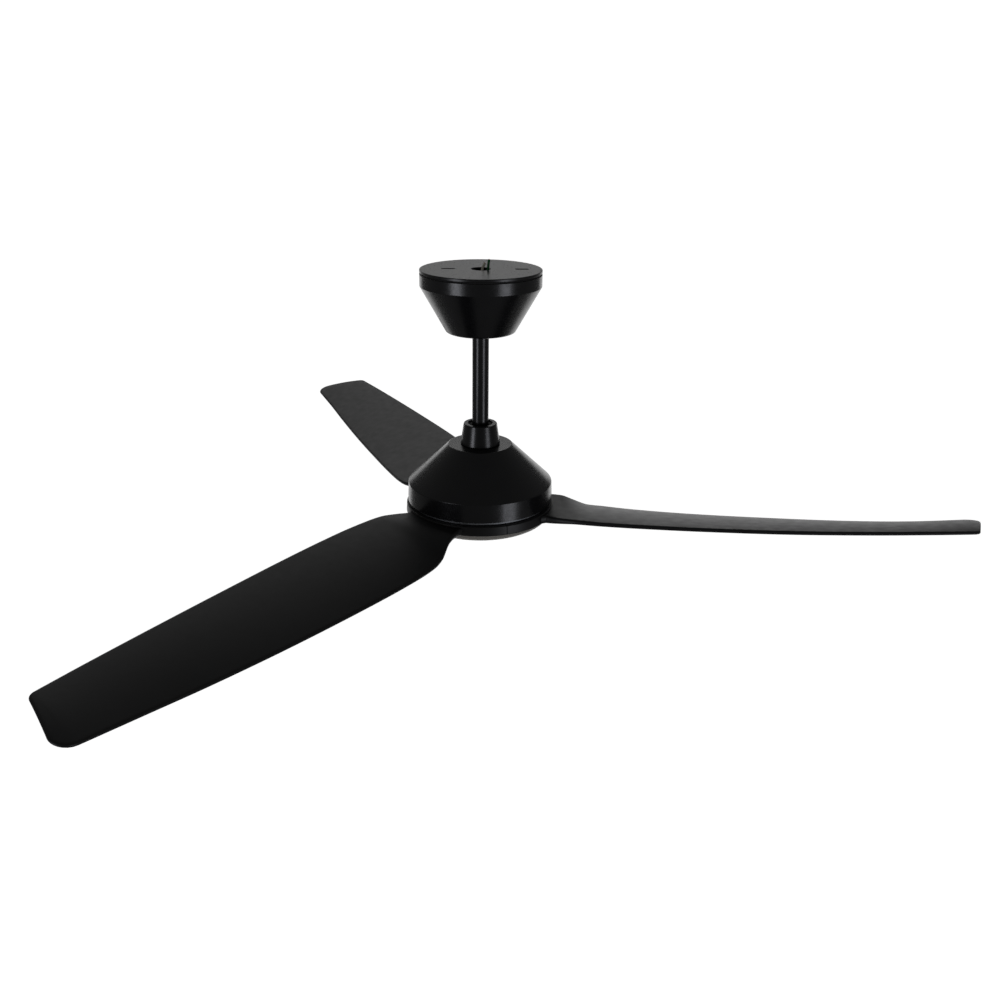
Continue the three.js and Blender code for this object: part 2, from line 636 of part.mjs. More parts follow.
// Rounding of a corner as points on its arc, from the edge before it to the edge after it.
function roundedCorner(before, corner, after, radius) {
  const toBefore = new THREE.Vector3().subVectors(before, corner).normalize();
  const toAfter = new THREE.Vector3().subVectors(after, corner).normalize();
  const half = toBefore.angleTo(toAfter) / 2;
  const inward = toBefore.clone().add(toAfter).normalize();
  const centre = corner.clone().addScaledVector(inward, radius / Math.sin(half));
  const start = corner.clone().addScaledVector(toBefore, radius / Math.tan(half)).sub(centre);
  const end = corner.clone().addScaledVector(toAfter, radius / Math.tan(half)).sub(centre);
  const sweep = start.angleTo(end);
  const points = [];
  for (let i = 0; i <= TIP_STEPS; i += 1) {
    const t = i / TIP_STEPS;
    const along = start.clone().multiplyScalar(Math.sin((1 - t) * sweep) / Math.sin(sweep));
    along.addScaledVector(end, Math.sin(t * sweep) / Math.sin(sweep));
    points.push(centre.clone().add(along));
  }
  return points;
}

// One closed ring of points round the blade between its trailing and leading edge points.
function bladeSection({ trail, lead, thick, camber }) {
  const chord = new THREE.Vector3().subVectors(lead, trail);
  const flat = Math.hypot(chord.y, chord.z);
  const up = new THREE.Vector3(0, -chord.z / flat, chord.y / flat).multiplyScalar(Math.sign(chord.y));
  const at = (place, share) => {
    const lift = camber * 4 * place * (1 - place) + share * thick;
    return trail.clone().addScaledVector(chord, place).addScaledVector(up, lift);
  };
  const top = SECTION.map(([place, share]) => at(place, share));
  const under = SECTION.map(([place, share]) => at(place, -share)).reverse();
  return [trail.clone(), ...top, lead.clone(), ...under];
}

function bladeSections() {
  const sections = BLADE_STATIONS.map(({ out, lead, trail, thick }) => ({
    lead: new THREE.Vector3(out, ...lead),
    trail: new THREE.Vector3(out, ...trail),
    thick,
    camber: out < 130 ? 0 : BLADE_CAMBER,
  }));
  const last = sections[sections.length - 1];
  const leadCorner = new THREE.Vector3(TIP_LEAD.out, TIP_LEAD.offset, TIP_LEAD.height);
  const trailCorner = new THREE.Vector3(TIP_TRAIL.out, TIP_TRAIL.offset, TIP_TRAIL.height);
  const leads = roundedCorner(last.lead, leadCorner, trailCorner, TIP_LEAD.radius);
  const trails = roundedCorner(last.trail, trailCorner, leadCorner, TIP_TRAIL.radius);
  for (let i = 0; i <= TIP_STEPS; i += 1) {
    sections.push({
      lead: leads[i],
      trail: trails[i],
      thick: TIP_THICK - i * 0.2,
      camber: BLADE_CAMBER * (1 - i / TIP_STEPS),
    });
  }
  return sections.map(bladeSection);
}

// Skin over a run of equal rings, with both ends closed across the ring.
function loft(sections) {
  const count = sections[0].length;
  const points = sections.flat();
  const index = [];
  for (let s = 0; s < sections.length - 1; s += 1) {
    for (let i = 0; i < count; i += 1) {
      const a = s * count + i;
      const b = s * count + ((i + 1) % count);
      index.push(a, b, b + count, a, b + count, a + count);
    }
  }
  const end = (sections.length - 1) * count;
  for (let i = 1; i < count / 2; i += 1) {
    const [a, b, c, d] = [i - 1, i, count - i, (count - i + 1) % count];
    index.push(a, c, b, end + a, end + b, end + c);
    if (i > 1) index.push(a, d, c, end + a, end + c, end + d);
  }
  const last = count / 2;
  index.push(last - 1, last + 1, last, end + last - 1, end + last, end + last + 1);
  const geometry = new THREE.BufferGeometry();
  geometry.setFromPoints(points);
  geometry.setIndex(index);
  return toSolid(geometry);
}

// A third of the ring, seams included, centred on +X.
function ringThird() {
  const whole = revolve([
    [RING_BORE_R, RING_END], [RING_END_R, RING_END], [RING_TOP_R, RING_TOP], [RING_BORE_R, RING_TOP],
  ], 60);
  const reach = 150;
  const inset = RING_SEAM / 2 / Math.sin(radians(60));
  const [x, y] = turned(reach, 60);
  const outline = [[inset, 0], [inset + x, -y], [2 * reach, -y], [2 * reach, y], [inset + x, y]];
  return whole.intersect(raised(outline, RING_END - 1, RING_TOP + 1));
}

function blade() {
  const wing = spun(loft(bladeSections()).mirror([0, 1, 0]), BLADE_LEAN);
  const holes = drills(2.3, RING_END - 1, RING_TOP + 1, BLADE_SCREW_R, BLADE_SCREW_ANGLES);
  const wells = drills(4.6, RING_END - 1, RING_END + BLADE_WELL, BLADE_SCREW_R, BLADE_SCREW_ANGLES);
  return cut(ringThird().add(wing), [...holes, ...wells]);
}

for (let i = 0; i < BLADE_COUNT; i += 1) {
  const azimuth = FIRST_SECTOR + (360 / BLADE_COUNT) * i;
  add(`blade_${i + 1}`, spun(blade(), azimuth), 'black_plastic');
  BLADE_SCREW_ANGLES.forEach((angle, k) => {
    const [x, y] = turned(BLADE_SCREW_R, azimuth + angle);
    const number = BLADE_SCREW_ANGLES.length * i + k + 1;
    const standing = screw(4, 2.4, 1.9, 10.8, -1);
    add(`blade_screw_${number}`, moved(standing, x, y, RING_END + BLADE_WELL - GAP), 'dark_steel');
  });
}

// ---------------------------------------------------------------- light unit

function lightPan() {
  const sheet = revolve([[9, PAN_END], [PAN_R, PAN_END], [PAN_R, PAN_TOP], [9, PAN_TOP]], INNER);
  const holes = drills(HOLE_R, PAN_END - 1, PAN_TOP + 1, LED_SCREW_R, LED_SCREW_ANGLES);
  const leads = moved(disc(4, PAN_END - 1, PAN_TOP + 1, TINY), 0, 18);
  return cut(sheet, [...holes, leads]);
}

function shaftNut() {
  const top = PAN_END - GAP;
  return cut(hexagon(24, top - 4.6, top), [disc(SHAFT_R + GAP, top - 6, top + 1, MID)]);
}

function ledBoard() {
  const top = PAN_END - GAP;
  const board = ring(17, LED_BOARD_R, top - LED_BOARD_SHEET, top, INNER);
  const chips = [];
  for (const [count, r] of [[6, 36], [10, 68]]) {
    for (let i = 0; i < count; i += 1) {
      chips.push(spun(block([r, 0, top - 2], [3.4, 3.4, 1.4]), ((i + 0.5) * 360) / count));
    }
  }
  const holes = drills(HOLE_R, top - 3, top + 1, LED_SCREW_R, LED_SCREW_ANGLES);
  return cut(joined([board, ...chips]), holes);
}

// A quarter of an ellipse from the rim down to the axis.
function bowl(r, depth, top, steps) {
  const points = [];
  for (let i = 0; i <= steps; i += 1) {
    const angle = (i / steps) * (Math.PI / 2);
    points.push([r * Math.cos(angle), top - depth * Math.sin(angle)]);
  }
  points[steps][0] = 0;
  return points;
}

function lightDiffuser() {
  const outer = bowl(BOWL_R, BOWL_DEPTH, BOWL_TOP, BOWL_STEPS);
  const inner = bowl(BOWL_R - BOWL_WALL, BOWL_DEPTH - BOWL_WALL, BOWL_TOP, BOWL_STEPS).reverse();
  return revolveFull([...inner, ...outer], BIG);
}

function ledDriver() {
  const box = block([0, 38, -317.4], [58, 24, 8.4]);
  const label = block([0, 38, -313], [40, 16, 0.8]);
  return box.add(label);
}

add('light_pan', lightPan(), 'cast_aluminium');
add('shaft_nut', shaftNut(), 'zinc_steel');
add('led_driver', ledDriver(), 'white_plastic');
add('led_board', ledBoard(), 'white_board');
LED_SCREW_ANGLES.forEach((azimuth, i) => {
  const [x, y] = turned(LED_SCREW_R, azimuth);
  const seat = PAN_END - 2 * GAP - LED_BOARD_SHEET;
  add(`led_screw_${i + 1}`, moved(screw(3, 1.8, 1.6, 3.2, -1), x, y, seat), 'zinc_steel');
});
add('light_diffuser', lightDiffuser(), 'opal');

export default fan;
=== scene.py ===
"""Ceiling fan with three blades and a light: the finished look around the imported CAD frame."""

import math

import bmesh
import bpy
import numpy as np
from mathutils import Matrix, Vector


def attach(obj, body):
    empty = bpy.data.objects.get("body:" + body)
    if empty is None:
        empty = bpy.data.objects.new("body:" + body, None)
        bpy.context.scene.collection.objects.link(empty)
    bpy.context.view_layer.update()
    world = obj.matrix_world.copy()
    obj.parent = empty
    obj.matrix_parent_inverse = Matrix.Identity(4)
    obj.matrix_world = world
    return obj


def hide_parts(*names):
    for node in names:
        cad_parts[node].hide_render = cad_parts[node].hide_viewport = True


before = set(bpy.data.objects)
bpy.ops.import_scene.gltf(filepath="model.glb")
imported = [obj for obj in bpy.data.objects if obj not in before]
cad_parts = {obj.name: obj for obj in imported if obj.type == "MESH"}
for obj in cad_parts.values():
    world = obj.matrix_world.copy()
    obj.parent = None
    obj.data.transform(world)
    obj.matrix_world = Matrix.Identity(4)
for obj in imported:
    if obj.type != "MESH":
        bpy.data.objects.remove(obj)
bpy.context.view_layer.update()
MM = 0.001

# ------------------------ camera

CAMERA_PLACE = Vector((0, -1336.4, 219.8)) * MM
CAMERA_TURN = 1.154  # degrees to the right of straight ahead
CAMERA_PITCH = 21.601  # degrees down
CAMERA_ROLL = 0.636
CAMERA_LENS = 38.27


def linked(name, data):
    """A new object, put in the scene."""
    made = bpy.data.objects.new(name, data)
    bpy.context.scene.collection.objects.link(made)
    return made


def add_camera():
    data = bpy.data.cameras.new("camera")
    data.lens = CAMERA_LENS
    data.sensor_width = 36
    data.clip_start = 0.02
    data.clip_end = 60
    camera = linked("camera", data)
    turn, pitch, roll = (math.radians(a) for a in (CAMERA_TURN, CAMERA_PITCH, CAMERA_ROLL))
    ahead = Vector((math.sin(turn) * math.cos(pitch), math.cos(turn) * math.cos(pitch), -math.sin(pitch)))
    level = Vector((math.cos(turn), -math.sin(turn), 0))
    above = level.cross(ahead)
    right = math.cos(roll) * level + math.sin(roll) * above
    up = math.cos(roll) * above - math.sin(roll) * level
    rotation = Matrix((right, up, -ahead)).transposed()
    camera.matrix_world = Matrix.Translation(CAMERA_PLACE) @ rotation.to_4x4()
    bpy.context.scene.camera = camera


add_camera()

# ------------------------ materials


def linear(code):
    """A hex colour as linear light, with alpha."""
    shares = [int(code[i : i + 2], 16) / 255 for i in (0, 2, 4)]
    return [s / 12.92 if s <= 0.04045 else ((s + 0.055) / 1.055) ** 2.4 for s in shares] + [1.0]


class Look:
    """A procedural material under construction; lengths in its patterns are metres."""

    def __init__(self, name):
        self.material = bpy.data.materials.new(f"{name}_look")
        self.material.use_nodes = True
        self.nodes = self.material.node_tree.nodes
        self.links = self.material.node_tree.links
        self.shader = self.nodes["Principled BSDF"]
        self.place = self.nodes.new("ShaderNodeTexCoord").outputs["Object"]
        self.normal = None

    def link(self, source, target):
        self.links.new(source, target)

    def set(self, **values):
        for name, value in values.items():
            self.shader.inputs[name.replace("_", " ")].default_value = value
        return self

    def noise(self, size, detail=3.0):
        """Cloudy noise with features about size metres across."""
        mapping = self.nodes.new("ShaderNodeMapping")
        mapping.inputs["Scale"].default_value = [1 / size] * 3
        texture = self.nodes.new("ShaderNodeTexNoise")
        texture.inputs["Scale"].default_value = 1.0
        texture.inputs["Detail"].default_value = detail
        self.link(self.place, mapping.inputs["Vector"])
        self.link(mapping.outputs["Vector"], texture.inputs["Vector"])
        return texture.outputs["Fac"]

    def cells(self, size, feature="F1"):
        texture = self.nodes.new("ShaderNodeTexVoronoi")
        texture.feature = feature
        texture.inputs["Scale"].default_value = 1 / size
        self.link(self.place, texture.inputs["Vector"])
        return texture.outputs["Distance"]

    def bands(self, pitch, kind="BANDS", distortion=0.0):
        """Regular ridges a pitch apart, one above another (BANDS) or round the Z axis (RINGS)."""
        texture = self.nodes.new("ShaderNodeTexWave")
        texture.wave_type = kind
        texture.bands_direction = "Z"
        texture.rings_direction = "Z"
        texture.inputs["Scale"].default_value = math.pi / (10 * pitch)
        texture.inputs["Distortion"].default_value = distortion
        texture.inputs["Detail"].default_value = 1.0
        self.link(self.place, texture.inputs["Vector"])
        return texture.outputs["Fac"]

    def ranged(self, value, low, high, start=0.3, end=0.7):
        node = self.nodes.new("ShaderNodeMapRange")
        node.inputs["From Min"].default_value = start
        node.inputs["From Max"].default_value = end
        node.inputs["To Min"].default_value = low
        node.inputs["To Max"].default_value = high
        self.link(value, node.inputs["Value"])
        return node.outputs["Result"]

    def mixed(self, factor, first, second):
        """Two colours (or sockets) blended by a factor."""
        node = self.nodes.new("ShaderNodeMix")
        node.data_type = "RGBA"
        self.link(factor, node.inputs[0])
        for socket, colour in ((node.inputs[6], first), (node.inputs[7], second)):
            if isinstance(colour, list):
                socket.default_value = colour
            else:
                self.link(colour, socket)
        return node.outputs[2]

    def colour(self, source):
        self.link(source, self.shader.inputs["Base Color"])
        return self

    def rough(self, source):
        self.link(source, self.shader.inputs["Roughness"])
        return self

    def bump(self, height, depth):
        """Relief of a given depth in metres, added to what is there."""
        node = self.nodes.new("ShaderNodeBump")
        node.inputs["Distance"].default_value = depth
        node.inputs["Strength"].default_value = 1.0
        self.link(height, node.inputs["Height"])
        if self.normal is not None:
            self.link(self.normal, node.inputs["Normal"])
        self.normal = node.outputs["Normal"]
        self.link(self.normal, self.shader.inputs["Normal"])
        return self


def clouded(name, dark, light, cloud, rough, spread, patch):
    """A look whose colour drifts over clouds, and its roughness over patches, of the given sizes."""
    look = Look(name)
    look.colour(look.mixed(look.ranged(look.noise(cloud), 0.0, 1.0), linear(dark), linear(light)))
    return look.rough(look.ranged(look.noise(patch), rough - spread, rough + spread))


def painted(name, dark, light, rough, peel=0.00001, ior=1.45):
    """Satin stoved paint: a little cloudiness, faint orange peel and fine texture."""
    look = clouded(name, dark, light, 0.02, rough, 0.035, 0.004)
    look.bump(look.noise(0.0028, 2.0), peel)
    look.bump(look.noise(0.0006, 2.0), peel * 0.25)
    return look.set(IOR=ior)


def moulded(name, dark, light, rough, grain=0.00001, ior=1.46):
    """Moulded plastic with the fine spark-eroded texture of its mould."""
    look = clouded(name, dark, light, 0.03, rough, 0.03, 0.012)
    look.bump(look.noise(0.0005, 3.0), grain)
    look.bump(look.noise(0.02, 2.0), grain * 2)
    return look.set(IOR=ior)


def metallic(name, dark, light, rough, grain_size=0.001, grain=0.00002):
    """Bare metal with a fine grain."""
    look = clouded(name, dark, light, grain_size * 8, rough, 0.08, grain_size * 4)
    look.bump(look.noise(grain_size), grain)
    return look.set(Metallic=1.0)


def make_looks():
    looks = {
        "black_paint": painted("black_paint", "0d0d0e", "111113", 0.25),
        "plate_paint": painted("plate_paint", "101011", "151516", 0.30, 0.000006),
        "black_plastic": moulded("black_plastic", "0d0d0e", "111112", 0.42, ior=1.4),
        "rubber": moulded("rubber", "090909", "0f0f10", 0.75, 0.00004),
        "nylon": moulded("nylon", "1c1d20", "26272b", 0.48),
        "white_plastic": moulded("white_plastic", "cfcec8", "dcdbd6", 0.42),
        "green_wire": moulded("green_wire", "134a27", "1f6b39", 0.42, 0.00002),
        "cream_wire": moulded("cream_wire", "dfdac9", "eeeadc", 0.42, 0.00002),
        "dark_steel": metallic("dark_steel", "2a2b2d", "3a3b3e", 0.42),
        "ferrite": moulded("ferrite", "28282a", "37373a", 0.66, 0.00005),
    }

    zinc = metallic("zinc_steel", "9c9fa2", "b4b7ba", 0.34)
    zinc.bump(zinc.cells(0.004), 0.00002)
    looks["zinc_steel"] = zinc

    cast = metallic("cast_aluminium", "94979a", "aaadb0", 0.5, 0.0012, 0.00006)
    cast.bump(cast.cells(0.002), 0.00004)
    looks["cast_aluminium"] = cast

    copper = metallic("copper", "7d3a1b", "b8672f", 0.36, 0.0006)
    copper.bump(copper.bands(0.0006, "RINGS", 0.4), 0.0002)
    copper.set(Coat_Weight=0.6, Coat_Roughness=0.2)
    looks["copper"] = copper

    sheets = metallic("lamination", "66686b", "7b7e82", 0.46)
    sheets.bump(sheets.bands(0.0005), 0.00008)
    looks["lamination"] = sheets

    board = Look("circuit_board")
    tracks = board.ranged(board.cells(0.006, "DISTANCE_TO_EDGE"), 1.0, 0.0, 0.04, 0.06)
    tint = board.mixed(tracks, linear("124a2b"), linear("1d6a3e"))
    pads = board.ranged(board.cells(0.0045), 1.0, 0.0, 0.09, 0.11)
    board.colour(board.mixed(pads, tint, linear("a8a79c")))
    board.rough(board.ranged(board.noise(0.002), 0.32, 0.46))
    board.bump(tracks, 0.00003)
    looks["circuit_board"] = board

    white = Look("white_board")
    veins = white.ranged(white.cells(0.011, "DISTANCE_TO_EDGE"), 1.0, 0.0, 0.03, 0.05)
    white.colour(white.mixed(veins, linear("e4e4df"), linear("d2d3ce")))
    white.rough(white.ranged(white.noise(0.003), 0.36, 0.5))
    white.bump(veins, 0.00003)
    looks["white_board"] = white

    # The diffuser's mid grey colour is painted shade: white opal plastic darkened to stand for the shadow
    # under the blade ring.
    opal = Look("opal")
    opal.colour(opal.mixed(opal.ranged(opal.noise(0.03), 0.0, 1.0), linear("8f8b84"), linear("96928b")))
    opal.rough(opal.ranged(opal.noise(0.006), 0.42, 0.5))
    opal.bump(opal.noise(0.0008), 0.00001)
    opal.set(IOR=1.49, Subsurface_Weight=0.25, Subsurface_Radius=(1.0, 0.9, 0.8), Subsurface_Scale=0.002)
    looks["opal"] = opal

    looks["phosphor"] = moulded("phosphor", "d9b74a", "e6c860", 0.4)
    looks["strands"] = metallic("strands", "a4562c", "c87a45", 0.3, 0.0003)
    return {name: look.material for name, look in looks.items()}


LOOKS = make_looks()


def finished(name, bm, look):
    """The worked bmesh as an object in metres, in its look."""
    bmesh.ops.scale(bm, vec=(MM,) * 3, verts=bm.verts)
    mesh = bpy.data.meshes.new(name)
    bm.to_mesh(mesh)
    bm.free()
    mesh.materials.append(LOOKS[look])
    return linked(name, mesh)


# ------------------------ the wires out of the ceiling plate

WIRE_R = 1.6
WIRE_BEND = 6.5
WIRE_LOW = -11
WIRE_RISE_STEPS = 12
STRAND_CIRCLE = 0.62
STRAND_R = 0.3
STRAND_END_R = 0.26
STRAND_LENGTH = 0.9
TERMINAL_BACK = -15
GAP = 0.3
EARTH = {"x": 8.6, "y": -4.8, "top": 12, "lean": (1.5, 1)}
SUPPLY = {"x": 1.3, "y": 2.2, "top": 6.5, "lean": (3.5, 1)}


def wire_route(x, y, top, lean):
    """The middle line of a wire: level to its bend, a quarter turn, then up with a slight lean."""
    start = TERMINAL_BACK + GAP
    points = [Vector((x, start + (y - WIRE_BEND - start) * i / 4, WIRE_LOW)) for i in range(4)]
    for i in range(10):
        angle = math.radians(10 * i)
        forward = y - WIRE_BEND + WIRE_BEND * math.sin(angle)
        height = WIRE_LOW + WIRE_BEND - WIRE_BEND * math.cos(angle)
        points.append(Vector((x, forward, height)))
    rise = top - WIRE_LOW - WIRE_BEND
    for i in range(1, WIRE_RISE_STEPS + 1):
        share = (i / WIRE_RISE_STEPS) ** 2
        height = WIRE_LOW + WIRE_BEND + rise * i / WIRE_RISE_STEPS
        points.append(Vector((x + share * lean[0], y + share * lean[1], height)))
    return points


def add_wire(name, replaced, course, look):
    """A stranded lead with its cut end showing the copper."""
    points = wire_route(**course)
    curve = bpy.data.curves.new(name, "CURVE")
    curve.dimensions = "3D"
    curve.bevel_depth = WIRE_R * MM
    curve.bevel_resolution = 6
    curve.use_fill_caps = True
    spline = curve.splines.new("POLY")
    spline.points.add(len(points) - 1)
    for slot_point, point in zip(spline.points, points):
        slot_point.co = (*(point * MM), 1)
    wire = linked(name, curve)
    curve.materials.append(LOOKS[look])

    along = (points[-1] - points[-2]).normalized()
    turn = along.to_track_quat("Z", "Y").to_matrix()
    bm = bmesh.new()
    for i in range(7):
        spread = STRAND_CIRCLE if i else 0
        azimuth = i * math.pi / 3
        offset = Vector((spread * math.cos(azimuth), spread * math.sin(azimuth), 0))
        centre = points[-1] + turn @ offset + along * 0.15
        matrix = Matrix.Translation(centre) @ turn.to_4x4()
        size = {"radius1": STRAND_R, "radius2": STRAND_END_R, "depth": STRAND_LENGTH}
        bmesh.ops.create_cone(bm, cap_ends=True, segments=12, matrix=matrix, **size)
    core = finished(f"{name}_strands", bm, "strands")
    for piece in (wire, core):
        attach(piece, "ceiling_mount")
    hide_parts(replaced)


add_wire("earth_lead", "earth_wire", EARTH, "green_wire")
add_wire("supply_lead", "supply_wire", SUPPLY, "cream_wire")

# ------------------------ making shapes, in millimetres


def polar(r, degrees):
    return (r * math.cos(math.radians(degrees)), r * math.sin(math.radians(degrees)))


def corner_arc(before, corner, after, radius, shares=None):
    """Points on the rounding of a corner, at shares of its sweep or at most 14 degrees apart."""
    back, on = (before - corner).normalized(), (after - corner).normalized()
    half = back.angle(on) / 2
    centre = corner + (back + on).normalized() * (radius / math.sin(half))
    start = corner + back * (radius / math.tan(half)) - centre
    end = corner + on * (radius / math.tan(half)) - centre
    sweep = start.angle(end)
    if shares is None:
        steps = max(2, math.ceil(math.degrees(sweep) / 14))
        shares = [k / steps for k in range(steps + 1)]
    arcs = [start * math.sin((1 - t) * sweep) + end * math.sin(t * sweep) for t in shares]
    return [centre + arc / math.sin(sweep) for arc in arcs]


def rounded(corners, closed=True):
    """Corners (a, b) or (a, b, radius) as points, each radius turned into an arc."""
    places = [Vector(corner[:2]) for corner in corners]
    count = len(corners)
    points = []
    for i, corner in enumerate(corners):
        radius = corner[2] if len(corner) > 2 else 0
        if radius == 0 or (not closed and i in (0, count - 1)):
            points.append(places[i])
        else:
            points += corner_arc(places[i - 1], places[i], places[(i + 1) % count], radius)
    return points


def work(bm):
    """The bmesh as an object that later steps cut, join or finish."""
    bmesh.ops.recalc_face_normals(bm, faces=bm.faces)
    mesh = bpy.data.meshes.new("work")
    bm.to_mesh(mesh)
    bm.free()
    return linked("work", mesh)


def lathe(corners, closed=True, facets=96):
    """A profile of (radius, height) corners turned about Z; an open one starts and ends on the axis."""
    bm = bmesh.new()
    rings = []
    for r, z in rounded(corners, closed):
        if r < 1e-6:
            rings.append([bm.verts.new((0, 0, z))] * facets)
        else:
            rings.append([bm.verts.new((*polar(r, 360 * i / facets), z)) for i in range(facets)])
    pairs = zip(rings, rings[1:] + rings[:1]) if closed else zip(rings, rings[1:])
    for low, high in pairs:
        for i in range(facets):
            j = (i + 1) % facets
            around = list(dict.fromkeys([low[i], low[j], high[j], high[i]]))
            if len(around) > 2:
                bm.faces.new(around)
    return work(bm)


def prism(outline, low, high, bevel=0.0, steps=2):
    """An outline of (x, y) points raised from low to high, with its edges rounded."""
    bm = bmesh.new()
    base = bm.faces.new([bm.verts.new((x, y, low)) for x, y in outline])
    raised = bmesh.ops.extrude_face_region(bm, geom=[base])
    moved = [v for v in raised["geom"] if isinstance(v, bmesh.types.BMVert)]
    bmesh.ops.translate(bm, vec=(0, 0, high - low), verts=moved)
    if bevel:
        bmesh.ops.bevel(bm, geom=bm.edges[:], offset=bevel, segments=steps, affect="EDGES", profile=0.5)
    return work(bm)


def block(centre, size, bevel=0.0, steps=2):
    (x, y, z), (w, d, h) = centre, size
    outline = [(x + i * w / 2, y + j * d / 2) for i, j in ((-1, -1), (1, -1), (1, 1), (-1, 1))]
    return prism(outline, z - h / 2, z + h / 2, bevel, steps)


def bar(r, start, end, facets=32):
    """A round bar between two points."""
    start, end = Vector(start), Vector(end)
    turn = (end - start).to_track_quat("Z", "Y").to_matrix().to_4x4()
    bm = bmesh.new()
    matrix = Matrix.Translation((start + end) / 2) @ turn
    size = {"radius1": r, "radius2": r, "depth": (end - start).length}
    bmesh.ops.create_cone(bm, cap_ends=True, segments=facets, matrix=matrix, **size)
    return work(bm)


def uprights(r, low, high, circle, azimuths, facets=24):
    """Upright round bars standing on a circle, as posts or as cutters for holes."""
    return [bar(r, (*polar(circle, a), low), (*polar(circle, a), high), facets) for a in azimuths]


def ring(inner, outer, low, high, edge=0.3, facets=96):
    corners = [(inner, low, edge), (outer, low, edge), (outer, high, edge), (inner, high, edge)]
    return lathe(corners, facets=facets)


def spun(obj, degrees, axis="Z"):
    obj.data.transform(Matrix.Rotation(math.radians(degrees), 4, axis))
    return obj


def moved(obj, x, y, z=0.0):
    obj.data.transform(Matrix.Translation((x, y, z)))
    return obj


def combined(base, others, operation):
    """The base joined with, cut by or limited to the others, which are used up."""
    for other in others:
        modifier = base.modifiers.new("combine", "BOOLEAN")
        modifier.operation = operation
        modifier.solver = "EXACT"
        modifier.object = other
    graph = bpy.context.evaluated_depsgraph_get()
    mesh = bpy.data.meshes.new_from_object(base.evaluated_get(graph))
    base.modifiers.clear()
    base.data = mesh
    for other in others:
        bpy.data.objects.remove(other)
    return base


def join(base, *others):
    return combined(base, others, "UNION")


def cut(base, *others):
    return combined(base, others, "DIFFERENCE")


def together(*parts):
    """Separate closed shapes as one mesh."""
    bm = bmesh.new()
    for part in parts:
        bm.from_mesh(part.data)
        bpy.data.objects.remove(part)
    return work(bm)


def piece(name, obj, body, look, replaces=(), slot=None, sharp=32):
    """The worked shape as a finished piece in metres, riding on its body."""
    bm = bmesh.new()
    bm.from_mesh(obj.data)
    bpy.data.objects.remove(obj)
    bmesh.ops.remove_doubles(bm, verts=bm.verts, dist=0.002)
    bmesh.ops.dissolve_degenerate(bm, dist=0.001, edges=bm.edges)
    for face in bm.faces:
        face.smooth = True
    for edge in bm.edges:
        edge.smooth = len(edge.link_faces) == 2 and edge.calc_face_angle() < math.radians(sharp)
    made = finished(name, bm, look)
    even = made.modifiers.new("even", "WEIGHTED_NORMAL")
    even.keep_sharp = True
    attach(made, body)
    if replaces:
        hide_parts(*replaces)
    return made


def part(name, obj, body, look, sharp=32):
    """A piece that stands for the CAD node of its own name, given with a _shape suffix dropped."""
    cad_name = f"{name}_shape"
    return piece(cad_name, obj, body, look, replaces=[name], sharp=sharp)


def cross_recess(head_r, head_height):
    """A cutter for a cross recess in a screw head, its arms narrowing towards the bottom."""
    arms = []
    for degrees in (0, 90):
        reach, width = head_r * 0.56, head_r * 0.13
        bm = bmesh.new()
        low = [bm.verts.new((x * 0.45, y * 0.7, head_height * 0.3)) for x, y in
               ((-reach, -width), (reach, -width), (reach, width), (-reach, width))]
        high = [bm.verts.new((x, y, head_height * 1.4)) for x, y in
                ((-reach, -width), (reach, -width), (reach, width), (-reach, width))]
        bm.faces.new(low[::-1])
        bm.faces.new(high)
        for i in range(4):
            j = (i + 1) % 4
            bm.faces.new([low[i], low[j], high[j], high[i]])
        arms.append(spun(work(bm), degrees))
    return join(*arms)


def screw(head_r, head_height, shank_r, length, thread=0.5):
    """A pan-head screw standing on Z: head above z = 0, threaded shank below, cross recess on top."""
    profile = [
        (0, head_height), (head_r * 0.9, head_height, head_height * 0.7),
        (head_r, 0.0, 0.2), (shank_r, 0.0),
    ]
    depth = -0.4
    while depth > -length + 0.6:
        profile += [(shank_r, depth), (shank_r - 0.28, depth - thread / 2)]
        depth -= thread
    profile += [(shank_r - 0.3, -length), (0, -length)]
    return cut(lathe(profile, closed=False, facets=32), cross_recess(head_r, head_height))


def hex_nut(across, low, high, hole_r, at=(0, 0)):
    """A hexagon nut with turned corners and a countersunk bore."""
    r = across / math.sqrt(3)
    hexagon = prism([polar(r, 60 * i) for i in range(6)], low, high)
    turn = (r - across / 2) * 0.6
    profile = [
        (hole_r, low, 0.2), (r - turn * 1.6, low), (r, low + turn),
        (r, high - turn), (r - turn * 1.6, high), (hole_r, high, 0.2),
    ]
    blank = lathe(profile, facets=72)
    return moved(combined(blank, [hexagon], "INTERSECT"), *at)


def screws(name, sizes, circle, azimuths, z, body, look, hanging=True, first=1):
    """Numbered screws on a circle, with their heads down or up."""
    for i, azimuth in enumerate(azimuths):
        made = screw(*sizes)
        if hanging:
            spun(made, 180, "X")
        part(f"{name}_{first + i}", moved(made, *polar(circle, azimuth), z), body, look)


# ------------------------ ceiling plate and bracket

PLATE_R = 77
PLATE_SHEET = 1.6
PLATE_RIM = 3.6
WIRE_HOLE_R = 12.4
SLOT_WIDTH = 7
SLOTS = [(-50, -32), (42, 60)]
STUD_X = 20.5
CANOPY_TOP = -5.6
CANOPY_CREASE = -20.5
CANOPY_BOTTOM = -79
CANOPY_SHEET = 1.4
CANOPY_MOUTH_R = 24
CANOPY_SCREWS = (60, 120)
CANOPY_SCREW_Z = -13
CANOPY_HOOK = 270
SEAT_R = 15
SEAT_TOP = -57.9
STRAP = 2.5
STRAP_X = 28
STRAP_Y = 20
BALL_Z = -45
BALL_R = 19.5
ROD_R = 10.65
ROD_BORE_R = 8.35


